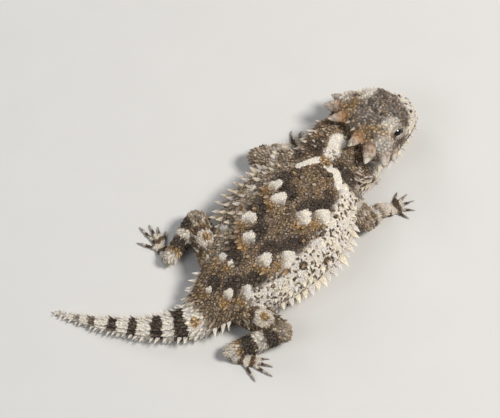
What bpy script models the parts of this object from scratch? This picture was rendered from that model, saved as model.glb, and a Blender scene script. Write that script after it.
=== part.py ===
"""Horned lizard, a life-size still model that rests on its belly, with the head turned and rolled
a little to its right and the tail swung to its left.

+X runs forward along the trunk, +Y is the animal's left and +Z is up. The sizes below are in
millimetres, and MM turns them into metres. The floor is at z = 0.
"""

import math
import random

import bmesh
import bpy
from mathutils import Vector

MM = 0.001
GAP = 0.3
SEED = 7
UP = Vector((0, 0, 1))

# Body stations from the tail tip to the nape:
# x, y, half width, height of the back, height of the belly, height of the widest line
BODY = (
    (-54.2, 31.8, 0.4, 0.9, 0.0, 0.4),
    (-52.7, 27.8, 0.9, 1.5, 0.0, 0.65),
    (-50.9, 23.4, 1.4, 2.1, 0.0, 0.95),
    (-48.6, 18.8, 1.9, 2.7, 0.0, 1.2),
    (-45.6, 13.6, 2.5, 3.4, 0.0, 1.5),
    (-42.3, 8.4, 3.1, 4.2, 0.0, 1.9),
    (-38.0, 3.6, 3.9, 5.3, 0.0, 2.3),
    (-33.5, 0.2, 5.1, 7.0, 0.0, 2.9),
    (-28.0, -1.1, 7.0, 9.2, 0.0, 3.7),
    (-22.5, -1.8, 9.2, 11.2, 0.0, 4.4),
    (-17.0, -2.7, 11.9, 12.8, 0.0, 4.9),
    (-12.0, -3.2, 14.2, 13.9, 0.0, 5.2),
    (-6.0, -3.2, 16.2, 14.8, 0.0, 5.4),
    (0.0, -2.9, 17.3, 15.2, 0.0, 5.5),
    (6.0, -2.5, 17.1, 15.1, 0.0, 5.5),
    (12.0, -2.2, 15.4, 14.5, 0.1, 5.6),
    (16.5, -1.8, 12.9, 13.7, 0.5, 5.9),
    (20.5, -1.1, 10.6, 12.9, 1.2, 6.3),
    (25.0, 0.0, 9.4, 12.0, 2.0, 6.6),
    (30.0, 1.3, 8.8, 10.7, 2.6, 6.8),
    (34.6, 1.1, 8.2, 9.9, 3.0, 6.8),
    (39.0, -0.1, 8.0, 9.9, 3.2, 6.8),
)
# Places along the body, counted in rows of BODY
TAIL_CUTS = (7.55, 5.0, 2.6)
NECK_START, NECK_LAST_RING, NECK_END = 17.25, 19.1, 20.0
NECK_TURN = 3.5
TORSO_RINGS, TORSO_SIDES = 26, 32
TAIL_SIDES = (20, 16, 10)
# How square the body's outline is at its sides, back and belly, and how flat the belly lies
SIDE_CURVE, BACK_CURVE, BELLY_CURVE, BELLY_FLATTEN = 2.3, 2.15, 2.4, 1.3

# The head's place at the nape, its turns in degrees, and stations along it from nape to snout:
# forward, half width, top and bottom, both counted from the head's own axis
HEAD_AT = (30.0, 1.9, 7.7)
HEAD_YAW, HEAD_ROLL = -21.0, 9.0
HEAD_BACK = 4.5
HEAD = (
    (4.5, 8.2, 5.2, -4.3),
    (6.2, 10.2, 6.2, -4.7),
    (8.0, 11.3, 6.8, -4.9),
    (10.0, 11.7, 7.0, -5.0),
    (12.0, 11.0, 7.1, -5.0),
    (14.0, 9.8, 7.2, -4.9),
    (16.0, 8.8, 6.8, -4.8),
    (18.0, 7.8, 5.5, -4.6),
    (20.0, 6.6, 4.0, -4.2),
    (21.8, 5.2, 2.7, -3.7),
    (23.0, 4.0, 1.8, -3.1),
    (23.7, 2.7, 1.1, -2.5),
    (24.0, 1.5, 0.5, -2.0),
)
HEAD_CURVE = 2.8
HEAD_UPPER_ANGLES = (90, 76, 62, 49, 36, 23, 11, 0)
MOUTH_FROM, MOUTH_FADE = 9.5, 1.5
MOUTH_HEIGHT, MOUTH_DEPTH, LIP = -1.1, 0.45, 0.11
BROW_AT, BROW_SIDE, BROW_HIGH, BROW_LONG, BROW_WIDE = 14.2, 6.2, 1.2, 3.0, 1.6
CROWN_AT, CROWN_DEEP, CROWN_LONG, CROWN_WIDE = 11.5, 0.5, 4.0, 2.4
EYE_AT = (14.6, 6.9, 3.1)
EYE_RADIUS, LID = 1.9, 0.55
SLIT_HALF, SLIT_OPEN, SLIT_SLOPE = 1.75, 0.8, 0.25
NOSTRIL_AT, NOSTRIL_TURN, NOSTRIL_RADIUS = 21.8, 62, 0.45

# Horns: name, root in the head's frame on the left side, direction, length and root radius
HORNS = (
    ("horn_occipital", (5.3, 3.8, 4.5), (-0.95, 0.32, 0.08), 4.9, 1.55),
    ("horn_temporal_rear", (6.5, 7.9, 3.3), (-0.75, 0.62, -0.12), 5.5, 1.75),
    ("horn_temporal_middle", (9.0, 10.0, 1.6), (-0.45, 0.86, -0.2), 5.0, 1.6),
    ("horn_temporal_front", (11.6, 10.2, 0.4), (-0.35, 0.92, -0.12), 3.8, 1.3),
)
HORN_BOSS, HORN_BEND = 0.8, 0.09
HORN_TAPER = ((0, 1.0), (0.3, 0.78), (0.62, 0.46), (0.88, 0.2), (1.0, 0.06))

# Small spines of the head's left side: root, direction and length
HEAD_SPINES = (
    ((11.3, 6.6, 7.4), (-0.5, 0.5, 0.8), 1.5),
    ((13.9, 9.2, 0.3), (-0.3, 1.0, 0.0), 1.5),
    ((5.6, 5.6, 4.2), (-1.0, 0.4, 0.15), 1.5),
    ((5.2, 1.3, 5.0), (-1.0, 0.1, 0.35), 1.6),
    ((7.2, 9.5, 1.2), (-0.7, 0.7, -0.05), 1.4),
    ((9.8, 10.8, -0.9), (-0.4, 0.9, -0.2), 1.6),
)
CHIN_SPINES, CHIN_FROM, CHIN_STEP, CHIN_TURN = 7, 8.8, 2.1, -34
CHIN_LONG, CHIN_LESS = 2.9, 0.24
CHIN_WIDE, CHIN_SLIMMER, CHIN_THICK = 1.9, 0.13, 0.9

# Limbs, as joints from inside the trunk outwards: x, y, z, radius
LIMBS = {
    "arm_right": ((20.0, -6.5, 6.8, 3.7), (18.3, -17.6, 4.3, 2.9), (25.2, -18.7, 2.3, 1.8)),
    "arm_left": ((20.0, 4.5, 6.8, 3.7), (14.7, 17.0, 4.2, 2.8), (21.9, 13.4, 2.3, 1.8)),
    "leg_right": ((-23.5, -3.5, 5.4, 4.3), (-21.4, -20.4, 4.6, 3.2), (-34.0, -12.6, 2.2, 1.8)),
    "leg_left": ((-19.5, 1.0, 5.5, 4.3), (-10.6, 17.6, 4.6, 3.1), (-23.2, 16.8, 2.2, 1.8)),
}
SEGMENTS = {"arm": ("upper_arm", "forearm", "hand"), "leg": ("thigh", "shank", "foot")}
LIMB_SIDES, ELBOW_SLIM = 14, 0.92
# Spines along an upper and a lower segment: turns round it in degrees, and length
UPPER_SPINES = ((30, 90, 150), 1.5)
LOWER_SPINES = ((40, 90, 140), 1.2)
LIMB_SPINE_SHARES = (0.45, 0.66, 0.87)

# Hands and feet: direction in degrees, sole half length and half width, toe turns and toe lengths
PAWS = {
    "arm_right": (-30.0, 2.0, 1.9, (52, 26, 2, -24, -52), (2.4, 3.4, 3.8, 3.4, 2.5)),
    "arm_left": (-14.0, 2.0, 1.9, (-52, -26, -2, 24, 52), (2.4, 3.4, 3.8, 3.4, 2.5)),
    "leg_right": (-69.0, 3.4, 1.8, (36, 18, 3, -13, -42), (3.4, 4.8, 6.2, 7.2, 4.8)),
    "leg_left": (68.0, 3.4, 1.8, (-36, -18, -3, 13, 42), (3.4, 4.8, 6.2, 7.2, 4.8)),
}
SOLE_HIGH, SOLE_RINGS, SOLE_SIDES = 0.9, 9, 12
# Along a toe and its claw: share of its length, radius and height of its middle
TOE_SIDES = 6
TOE = ((0, 0.62, 0.45), (0.3, 0.59, 0.51), (0.62, 0.53, 0.48), (0.9, 0.43, 0.39))
CLAW_LONG = 1.5
CLAW = ((0.3, 0.34, 0.55), (0.75, 0.16, 0.38))

# Fringes: turn round the body, spine length and start along it, in steps, for each row
FRINGES = ((6, 2.9, 0.0), (-24, 1.7, 0.5))
FRINGE_FROM, FRINGE_TO, FRINGE_STEP, FRINGE_THICK = 10.35, 15.9, 2.15, 1.0
# Pale lobes of the back: forward, to the left, and size. A stout cone stands behind and outside each
LOBES = (
    (7.8, 5.35, 0.95), (4.9, 1.6, 1.0), (4.9, -6.8, 1.05), (8.6, -10.4, 1.1), (5.8, -17.4, 0.7),
    (3.4, 10.2, 0.7), (-4.1, 4.35, 1.0), (-8.6, 0.65, 1.0), (-10.9, -6.45, 1.0), (-6.9, -10.5, 1.15),
    (-9.6, 8.6, 0.6), (-11.2, -14.6, 0.6), (-16.6, 3.3, 0.8), (-16.9, 0.1, 0.6), (-23.5, -4.3, 0.9),
    (-20.2, -7.8, 1.0), (-25.6, 0.6, 0.6),
)
MIDLINE, CONE_BEHIND, CONE_OUTWARD = -2.9, 2.6, 1.9
# Cones between the lobes, and smaller ones in cross bands: forward of the band, to the side, and size
LONE_CONES = (
    (-0.8, -11.1, 0.9), (-5.6, -15.1, 0.9), (-0.3, -18.6, 0.75), (-0.8, 5.0, 0.85), (14.9, -7.6, 0.8),
    (14.2, 3.4, 0.8),
)
BACK_BANDS = (16.2, 4.4, -8.6, -20.6)
SMALL_CONES = (
    (6.8, 11.9, 0.64),
    (-4.6, 5.8, 0.58),
    (-1.2, 10.4, 0.6),
    (2.6, 13.6, 0.5),
    (-5.6, 1.6, 0.44),
    (1.9, 5.9, 0.46),
)
CONES_APART = 3.2
BACK_LONG, BACK_WIDE = 2.7, 1.9
RUMP_FROM, RUMP_TO, RUMP_STEP = 7.75, 9.1, 0.42
TAIL_LONG = 2.5
TAIL_EDGE, TAIL_TOP = 12, 58
# Loose folds low on the neck behind the jaw, each from its rear to its front end: x, y, z, radius
NECK_FOLDS = (
    ((26.0, -7.4, 4.0, 2.7), (28.8, -9.8, 3.9, 3.1)),
    ((26.0, 7.4, 4.0, 2.5), (28.8, 8.4, 3.9, 2.6)),
)
# Neck spines: place along the body in rows, turn and length
NECK_SPINES = (
    (18.2, 2, 2.5),
    (18.55, 12, 2.0),
    (18.8, -6, 2.4),
    (19.1, 14, 1.8),
    (18.3, -18, 1.5),
    (17.9, 26, 1.6),
    (18.6, 34, 1.5),
    (18.1, 50, 1.4),
    (18.9, 52, 1.3),
    (18.4, 68, 1.5),
)

COLOURS = {
    "skin": (0.47, 0.40, 0.31),
    "horn": (0.52, 0.34, 0.19),
    "eye": (0.02, 0.015, 0.01),
}


def clear_scene():
    for obj in list(bpy.data.objects):
        bpy.data.objects.remove(obj)


def spline(rows, t):
    """A smooth curve through rows of numbers, read at row number t."""
    last = len(rows) - 1
    i = min(max(math.floor(t), 0), last - 1)
    u = t - i
    p1, p2 = rows[i], rows[i + 1]
    p0 = rows[i - 1] if i > 0 else tuple(2 * a - b for a, b in zip(p1, p2))
    p3 = rows[i + 2] if i + 2 <= last else tuple(2 * b - a for a, b in zip(p1, p2))
    return [
        0.5 * (2 * b + (c - a) * u + (2 * a - 5 * b + 4 * c - d) * u**2 + (3 * b - a - 3 * c + d) * u**3)
        for a, b, c, d in zip(p0, p1, p2, p3)
    ]


def row_at(rows, first):
    """The row number at which the first column reaches a value."""
    low, high = 0.0, len(rows) - 1.0
    for _ in range(40):
        middle = (low + high) / 2
        if spline(rows, middle)[0] < first:
            low = middle
        else:
            high = middle
    return low


def signed_power(value, power):
    return math.copysign(abs(value) ** power, value)


def level_way(degrees):
    return Vector((math.cos(math.radians(degrees)), math.sin(math.radians(degrees)), 0))


def mirrored_turn(degrees, sign):
    """A turn on the left side, or the like turn on the right side, in radians."""
    return math.radians(degrees if sign > 0 else 180 - degrees)


def body_heading(t):
    """Unit vector along the body at row number t, turned into the head's yaw at the nape."""
    ahead, behind = spline(BODY, t + 0.05), spline(BODY, t - 0.05)
    along = Vector((ahead[0] - behind[0], ahead[1] - behind[1], 0)).normalized()
    share = min(max((t - NECK_END + NECK_TURN) / NECK_TURN, 0), 1)
    return along.lerp(level_way(HEAD_YAW), share).normalized()


def body_point(t, angle, grow=0.0):
    """A point of the body's skin at row number t. Angle 0 is the left side, and 90 degrees the back."""
    x, y, half, top, bottom, widest = spline(BODY, t)
    side = UP.cross(body_heading(t))
    across = (half + grow) * signed_power(math.cos(angle), 2 / SIDE_CURVE)
    rise = math.sin(angle)
    if rise >= 0:
        z = widest + (top + grow - widest) * rise ** (2 / BACK_CURVE)
    else:
        z = widest - (widest - bottom + grow) * min(1, BELLY_FLATTEN * (-rise) ** (2 / BELLY_CURVE))
    return Vector((x, y, max(z, -grow))) + side * across


def frame_on(surface, u, v, du, dv, centre):
    """The point, outward normal and forward direction of a surface at (u, v)."""
    point = surface(u, v)
    along = surface(u + du, v) - surface(u - du, v)
    around = surface(u, v + dv) - surface(u, v - dv)
    normal = along.cross(around).normalized()
    if normal.dot(point - centre) < 0:
        normal = -normal
    return point, normal, along.normalized()


def body_frame(t, angle):
    x, y, _, _, _, widest = spline(BODY, t)
    return frame_on(body_point, t, angle, 0.05, 0.03, Vector((x, y, widest)))


def rows_per_mm(t, angle=0.0):
    """How many rows of BODY a millimetre along the skin takes at row number t."""
    return 0.2 / (body_point(t + 0.1, angle) - body_point(t - 0.1, angle)).length


def head_turn(vector):
    """From the head's own frame to the animal's, where a positive roll leans its top to the left."""
    yaw, roll = math.radians(HEAD_YAW), math.radians(HEAD_ROLL)
    x, side, up = vector
    y = side * math.cos(roll) + up * math.sin(roll)
    z = up * math.cos(roll) - side * math.sin(roll)
    return Vector((x * math.cos(yaw) - y * math.sin(yaw), x * math.sin(yaw) + y * math.cos(yaw), z))


def head_place(forward, side, up):
    return Vector(HEAD_AT) + head_turn((forward, side, up))


def head_local(forward, angle, inset=0.0):
    """A point of the head's skin in the head's own frame, with its brows and its hollow crown."""
    _, half, top, bottom = spline(HEAD, row_at(HEAD, forward))
    side = (half - inset) * signed_power(math.cos(angle), 2 / HEAD_CURVE)
    rise = math.sin(angle)
    up = (top if rise >= 0 else -bottom) * signed_power(rise, 2 / HEAD_CURVE)
    if rise > 0:
        along, across = (forward - BROW_AT) / BROW_LONG, (abs(side) - BROW_SIDE) / BROW_WIDE
        up += BROW_HIGH * math.exp(-(along**2) - across**2)
        along, across = (forward - CROWN_AT) / CROWN_LONG, side / CROWN_WIDE
        up -= CROWN_DEEP * math.exp(-(along**2) - across**2)
    return Vector((forward, side, up))


def head_point(forward, angle):
    return head_place(*head_local(forward, angle))


def head_frame(forward, angle):
    return frame_on(head_point, forward, angle, 0.2, 0.05, head_place(forward, 0, 0))


def mesh_object(name, points, faces):
    mesh = bpy.data.meshes.new(name)
    mesh.from_pydata([Vector(p) * MM for p in points], [], faces)
    bm = bmesh.new()
    bm.from_mesh(mesh)
    bmesh.ops.recalc_face_normals(bm, faces=bm.faces)
    bm.to_mesh(mesh)
    bm.free()
    obj = bpy.data.objects.new(name, mesh)
    bpy.context.scene.collection.objects.link(obj)
    return obj


def loft(name, rings):
    """A closed tube through rings of points, with flat ends."""
    sides = len(rings[0])
    points = [p for ring in rings for p in ring]
    faces = [tuple(range(sides)), tuple(range(len(points) - sides, len(points)))]
    for i in range(len(rings) - 1):
        for j in range(sides):
            k = (j + 1) % sides
            faces.append((i * sides + j, i * sides + k, (i + 1) * sides + k, (i + 1) * sides + j))
    return mesh_object(name, points, faces)


def oval(centre, across, other, wide, high, sides, start=0.5):
    """A ring of points round a centre, none of them below the floor."""
    ring = []
    for k in range(sides):
        a = 2 * math.pi * (k + start) / sides
        point = centre + across * math.cos(a) * wide + other * math.sin(a) * high
        ring.append(Vector((point.x, point.y, max(point.z, 0))))
    return ring


def body_tube(name, start, end, rings, sides, grow=0.0):
    rows = [start + (end - start) * i / (rings - 1) for i in range(rings)]
    around = [2 * math.pi * (j + 0.5) / sides for j in range(sides)]
    return loft(name, [[body_point(t, a, grow) for a in around] for t in rows])


def spine(root, way, length, wide, thick, along, sides=4, sink=0.8):
    """A tapered spine that leans along way, with its root sunk under the skin."""
    way = way.normalized()
    across = (along - along.dot(way) * way).normalized()
    ring = oval(root - way * sink, across, way.cross(across), wide * 0.7, thick * 0.7, sides)
    faces = [tuple(range(sides))] + [(k, (k + 1) % sides, sides) for k in range(sides)]
    return mesh_object("spine", ring + [root + way * length], faces)


def cone(name, start, way, stations, sides, bend=Vector()):
    """A round tapered piece, from stations of distance and radius, bent towards bend."""
    across = way.orthogonal().normalized()
    reach = stations[-1][0]
    rings = []
    for distance, radius in stations:
        centre = start + way * distance + bend * (distance / reach) ** 2
        rings.append(oval(centre, across, way.cross(across), radius, radius, sides, 0))
    return loft(name, rings)


def ball(centre, radius, segments=12, rings=8):
    bm = bmesh.new()
    bmesh.ops.create_uvsphere(bm, u_segments=segments, v_segments=rings, radius=radius * MM)
    bmesh.ops.translate(bm, verts=bm.verts, vec=centre * MM)
    mesh = bpy.data.meshes.new("ball")
    bm.to_mesh(mesh)
    bm.free()
    obj = bpy.data.objects.new("ball", mesh)
    bpy.context.scene.collection.objects.link(obj)
    return obj


def capsule(start, end, radius_start, radius_end):
    """A tapered limb segment with rounded ends."""
    way = (end - start).normalized()
    across = UP.cross(way).normalized()
    length = (end - start).length
    caps = [math.radians(12 + 26 * k) for k in range(4)]
    stations = [(-radius_start * math.cos(a), radius_start * math.sin(a)) for a in caps]
    stations += [(length * s, radius_start + (radius_end - radius_start) * s) for s in (0.2, 0.5, 0.8)]
    stations += [(length + radius_end * math.cos(a), radius_end * math.sin(a)) for a in reversed(caps)]
    other = way.cross(across)
    return loft("segment", [oval(start + way * d, across, other, r, r, LIMB_SIDES) for d, r in stations])


def apply_modifiers(obj):
    graph = bpy.context.evaluated_depsgraph_get()
    mesh = bpy.data.meshes.new_from_object(obj.evaluated_get(graph))
    obj.modifiers.clear()
    obj.data = mesh


def keep_largest(obj):
    """Drops every closed surface but the largest one."""
    bm = bmesh.new()
    bm.from_mesh(obj.data)
    left, shells = set(bm.verts), []
    while left:
        shell, front = set(), [next(iter(left))]
        while front:
            vertex = front.pop()
            if vertex not in shell:
                shell.add(vertex)
                front += [edge.other_vert(vertex) for edge in vertex.link_edges]
        shells.append(shell)
        left -= shell
    largest = max(shells, key=len)
    bmesh.ops.delete(bm, geom=[v for v in bm.verts if v not in largest], context="VERTS")
    bm.to_mesh(obj.data)
    bm.free()


def fuse(name, base, pieces):
    """One closed body from base and the pieces that grow from it."""
    group = bpy.data.collections.new(name + "_pieces")
    bpy.context.scene.collection.children.link(group)
    for piece in pieces:
        bpy.context.scene.collection.objects.unlink(piece)
        group.objects.link(piece)
    union = base.modifiers.new("union", "BOOLEAN")
    union.operation = "UNION"
    union.operand_type = "COLLECTION"
    union.collection = group
    union.solver = "EXACT"
    apply_modifiers(base)
    for piece in pieces:
        bpy.data.objects.remove(piece)
    bpy.data.collections.remove(group)
    keep_largest(base)
    base.name = name
    return base


def carve(obj, cutters):
    """Cuts each cutter out of an object."""
    for cutter in cutters:
        cutter.hide_render = True
        cutter.display_type = "WIRE"
        cut = obj.modifiers.new("cut", "BOOLEAN")
        cut.operation = "DIFFERENCE"
        cut.object = cutter
        cut.solver = "EXACT"
        apply_modifiers(obj)
        bpy.data.objects.remove(cutter)
    keep_largest(obj)


def slice_off(obj, at, way):
    """Removes what lies beyond a plane, and closes the cut."""
    bm = bmesh.new()
    bm.from_mesh(obj.data)
    geometry = bm.verts[:] + bm.edges[:] + bm.faces[:]
    bmesh.ops.bisect_plane(bm, geom=geometry, plane_co=at * MM, plane_no=way, clear_outer=True)
    bmesh.ops.holes_fill(bm, edges=[e for e in bm.edges if e.is_boundary], sides=0)
    bmesh.ops.recalc_face_normals(bm, faces=bm.faces)
    bm.to_mesh(obj.data)
    bm.free()
    keep_largest(obj)


def finish(obj, colour, roughness=0.8):
    """The object's own material, and smooth shading."""
    material = bpy.data.materials.new(obj.name)
    material.use_nodes = True
    shader = material.node_tree.nodes["Principled BSDF"]
    shader.inputs["Base Color"].default_value = (*COLOURS[colour], 1)
    shader.inputs["Roughness"].default_value = roughness
    shader.inputs["Metallic"].default_value = 0
    obj.data.materials.clear()
    obj.data.materials.append(material)
    obj.data.shade_smooth()
    obj.data.set_sharp_from_angle(angle=math.radians(35))


def near_limb(point, clearance):
    """Whether a point lies closer to a limb's skin than the clearance."""
    for joints in LIMBS.values():
        for first, second in zip(joints, joints[1:]):
            a, b = Vector(first[:3]), Vector(second[:3])
            share = min(max((point - a).dot(b - a) / (b - a).length_squared, 0), 1)
            radius = first[3] + (second[3] - first[3]) * share
            if (point - a.lerp(b, share)).length < radius + clearance:
                return True
    return False


def fringe_spines(chance):
    """Two rows of flat pointed scales along each flank."""
    pieces = []
    for sign in (1, -1):
        for turn, length, start in FRINGES:
            a = mirrored_turn(turn, sign)
            t = FRINGE_FROM + FRINGE_STEP * start * rows_per_mm(FRINGE_FROM, a)
            while t < FRINGE_TO:
                point, normal, along = body_frame(t, a)
                share = (t - FRINGE_FROM) / (FRINGE_TO - FRINGE_FROM)
                size = length * (0.72 + 0.28 * math.sin(math.pi * share)) * chance.uniform(0.85, 1.1)
                flat = Vector((normal.x, normal.y, 0)).normalized()
                way = flat - along * chance.uniform(0.3, 0.55) + UP * 0.12
                if not near_limb(point + way * size, 0.6) and not near_limb(point, 0.9):
                    wide = 0.25 + 0.68 * size
                    pieces.append(spine(point, way, size, wide, FRINGE_THICK, along, sink=1.0))
                t += FRINGE_STEP * rows_per_mm(t, a)
    return pieces


def rump_spines(chance):
    """Pointed scales along the edge of the hips, from the tail towards the thighs."""
    pieces = []
    for sign in (1, -1):
        t = RUMP_FROM
        while t < RUMP_TO:
            point, normal, along = body_frame(t, mirrored_turn(TAIL_EDGE, sign))
            way = Vector((normal.x, normal.y, 0.1)) - along * 0.7
            size = TAIL_LONG * chance.uniform(0.85, 1.1)
            if not near_limb(point, 0.9):
                pieces.append(spine(point, way, size, 1.3, 0.9, along))
            t += RUMP_STEP
    return pieces


def turn_at(t, side):
    """The turn round the body at which its back lies that far to the side."""
    share = min(abs(side) / spline(BODY, t)[2], 0.98)
    angle = math.acos(share ** (SIDE_CURVE / 2))
    return angle if side > 0 else math.pi - angle


def cone_places(chance):
    """Where the back's cones stand, forward and to the left, and their sizes: the large ones first."""
    places = list(LONE_CONES)
    for x, y, size in LOBES:
        outward = math.copysign(CONE_OUTWARD, y - MIDLINE)
        places.append((x - CONE_BEHIND * size, y + outward * size, size))
    widest = max(row[2] for row in BODY)
    for band in BACK_BANDS:
        for forward, side, size in SMALL_CONES:
            for sign in (1, -1):
                x = band + forward + chance.uniform(-0.7, 0.7)
                _, middle, half, _, _, _ = spline(BODY, row_at(BODY, x))
                y = middle + sign * side * half / widest
                if all(math.hypot(x - px, y - py) > CONES_APART for px, py, _ in places):
                    places.append((x, y, size))
    return places


def back_spines(chance):
    """Enlarged conical scales over the back, leaning backwards."""
    pieces = []
    for x, y, size in cone_places(chance):
        t = row_at(BODY, x)
        point, normal, along = body_frame(t, turn_at(t, y - spline(BODY, t)[1]))
        way = normal - along * chance.uniform(0.5, 0.8)
        size *= chance.uniform(0.9, 1.1)
        if TAIL_CUTS[0] + 0.3 < t < NECK_START - 0.3 and not near_limb(point, 0.8):
            wide = BACK_WIDE * size
            pieces.append(spine(point, way, BACK_LONG * size, wide, wide, along, 5, 1.0))
    return pieces


def trunk_cutter():
    """The torso and the parts of neck and tail next to it, grown by the gap."""
    step = (NECK_START - TAIL_CUTS[0]) / (TORSO_RINGS - 1)
    start, end = TAIL_CUTS[0] - 3 * step, NECK_START + 5 * step
    return body_tube("trunk", start, end, TORSO_RINGS + 8, TORSO_SIDES, GAP)


def make_torso(chance):
    base = body_tube("torso", TAIL_CUTS[0], NECK_START, TORSO_RINGS, TORSO_SIDES)
    torso = fuse("torso", base, fringe_spines(chance) + rump_spines(chance) + back_spines(chance))
    finish(torso, "skin")


def make_neck(chance):
    """The neck, from the torso's front to the flat back of the turned head."""
    sides = 28
    start = NECK_START + GAP * rows_per_mm(NECK_START)
    rows = [start + (NECK_LAST_RING - start) * i / 5 for i in range(6)]
    around = [2 * math.pi * (j + 0.5) / sides for j in range(sides)]
    rings = [[body_point(t, a) for a in around] for t in rows]
    _, _, half, top, bottom, widest = spline(BODY, NECK_END)
    centre = head_place(HEAD_BACK - GAP, 0, 0)
    centre.z = widest
    side = UP.cross(level_way(HEAD_YAW))
    last = []
    for a in around:
        rise = math.sin(a)
        curve = 2 / (BACK_CURVE if rise >= 0 else BELLY_CURVE)
        high = (top - widest if rise >= 0 else widest - bottom) * signed_power(rise, curve)
        last.append(centre + side * half * signed_power(math.cos(a), 2 / SIDE_CURVE) + UP * high)
    pieces = []
    for rear, front in NECK_FOLDS:
        fold = capsule(Vector(rear[:3]), Vector(front[:3]), rear[3], front[3])
        slice_off(fold, head_place(HEAD_BACK - GAP, 0, 0), head_turn((1, 0, 0)))
        pieces.append(fold)
    for t, turn, long in NECK_SPINES:
        for sign in (1, -1):
            point, normal, along = body_frame(t, mirrored_turn(turn, sign))
            size = long * chance.uniform(0.9, 1.1)
            if not near_limb(point, 0.8):
                way = normal - along * 0.6
                pieces.append(spine(point, way, size, 0.5 + 0.35 * size, 0.8, along))
    finish(fuse("neck", loft("neck", rings + [last]), pieces), "skin")


def make_tail(chance):
    """The tail in three lengths, each with spines along its edges and its top."""
    ends = (*TAIL_CUTS, 0.0)
    for index, name in enumerate(("tail_base", "tail_middle", "tail_tip")):
        end = ends[index] - GAP * rows_per_mm(ends[index])
        start = ends[index + 1]
        base = body_tube(name, start, end, 8, TAIL_SIDES[index])
        pieces = []
        t = start + 0.35
        while t < end - 0.3:
            half = spline(BODY, t)[2]
            size = TAIL_LONG * (0.38 + 0.14 * half)
            wide = 0.55 + 0.14 * half
            for sign in (1, -1):
                point, normal, along = body_frame(t, mirrored_turn(TAIL_EDGE, sign))
                flat = Vector((normal.x, normal.y, 0.1)).normalized()
                long = size * chance.uniform(0.85, 1.15)
                sink = min(0.8, half * 0.6)
                pieces.append(spine(point, flat - along * 0.75, long, wide, 0.7, along, sink=sink))
                if half > 2:
                    point, normal, along = body_frame(t, mirrored_turn(TAIL_TOP, sign))
                    pieces.append(spine(point, normal - along, long * 0.8, wide, wide * 0.8, along))
            t += (2.0 + 0.12 * half) * rows_per_mm(t)
        finish(fuse(name, base, pieces), "skin")


def head_ring(forward):
    """One ring of the head, with a point of each side sunk along the mouth's line."""
    bottom = spline(HEAD, row_at(HEAD, forward))[3]
    lips = -math.asin(min(0.95, (MOUTH_HEIGHT / bottom) ** (HEAD_CURVE / 2)))
    depth = MOUTH_DEPTH * min(max((forward - MOUTH_FROM) / MOUTH_FADE, 0), 1)
    under = [lips - LIP + (-math.pi / 2 - lips + LIP) * share for share in (0.33, 0.66, 1.0)]
    left = [math.radians(a) for a in HEAD_UPPER_ANGLES] + [lips + LIP, lips, lips - LIP] + under
    points = [head_local(forward, angle, depth if angle == lips else 0.0) for angle in left]
    right = [Vector((p.x, -p.y, p.z)) for p in points[-2:0:-1]]
    return [head_place(*p) for p in points + right]


def slit_outline():
    """The almond outline of the half-closed eye, as forward and up from its middle."""
    shares = [k / 6 for k in range(6)]
    lower = [(SLIT_HALF * (2 * s - 1), -SLIT_OPEN * math.sin(math.pi * s)) for s in shares]
    return lower + [(-a, -b) for a, b in lower]


def eye_lids(sign):
    """The swollen lids round one eye, and the cutters for its seat and its slit."""
    forward, side, up = EYE_AT
    centre = head_place(forward, sign * side, up)
    lid_radius = EYE_RADIUS + GAP + LID
    rings = []
    for reach in (0.4, lid_radius + 1.5):
        drop = SLIT_SLOPE * (reach - 0.4)
        rings.append([
            head_place(forward + a, sign * (side + reach), up + b + drop) for a, b in slit_outline()
        ])
    return ball(centre, lid_radius, 12, 9), [ball(centre, EYE_RADIUS + GAP), loft("slit", rings)]


def head_spines(chance):
    """Small spines of the head: chin shields, brow points and the scales between the horns."""
    pieces = []
    for sign in (1, -1):
        for k in range(CHIN_SPINES):
            point, normal, along = head_frame(CHIN_FROM + CHIN_STEP * k, mirrored_turn(CHIN_TURN, sign))
            way = Vector((normal.x, normal.y, -0.15)) - along * 0.35
            size = (CHIN_LONG - CHIN_LESS * k) * chance.uniform(0.9, 1.1)
            wide = CHIN_WIDE - CHIN_SLIMMER * k
            pieces.append(spine(point, way, size, wide, CHIN_THICK, along, sink=0.7))
        for (forward, side, up), lean, size in HEAD_SPINES:
            root = head_place(forward, sign * side, up)
            way = head_turn((lean[0], sign * lean[1], lean[2]))
            pieces.append(spine(root, way, size, 0.9, 0.9, way.orthogonal(), 5, 1.2))
    return pieces


def make_horn(name, sign, root, lean, length, radius):
    """One horn as its own object, its boss on the head, and the cutter that keeps the two apart."""
    at = head_place(root[0], sign * root[1], root[2])
    way = head_turn((lean[0], sign * lean[1], lean[2])).normalized()
    foot = HORN_BOSS + GAP
    reach = length - foot
    stations = [(reach * share, radius * thick) for share, thick in HORN_TAPER]
    bend = UP * HORN_BEND * length
    finish(cone(name, at + way * foot, way, stations, 10, bend), "horn", 0.6)
    sunk = 1.6
    boss = cone("boss", at - way * sunk, way, ((0, radius * 1.25), (sunk + HORN_BOSS, radius * 1.02)), 10)
    roomy = [(distance, thick + GAP) for distance, thick in stations]
    return boss, cone("room", at + way * HORN_BOSS, way, roomy, 12, bend)


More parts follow.
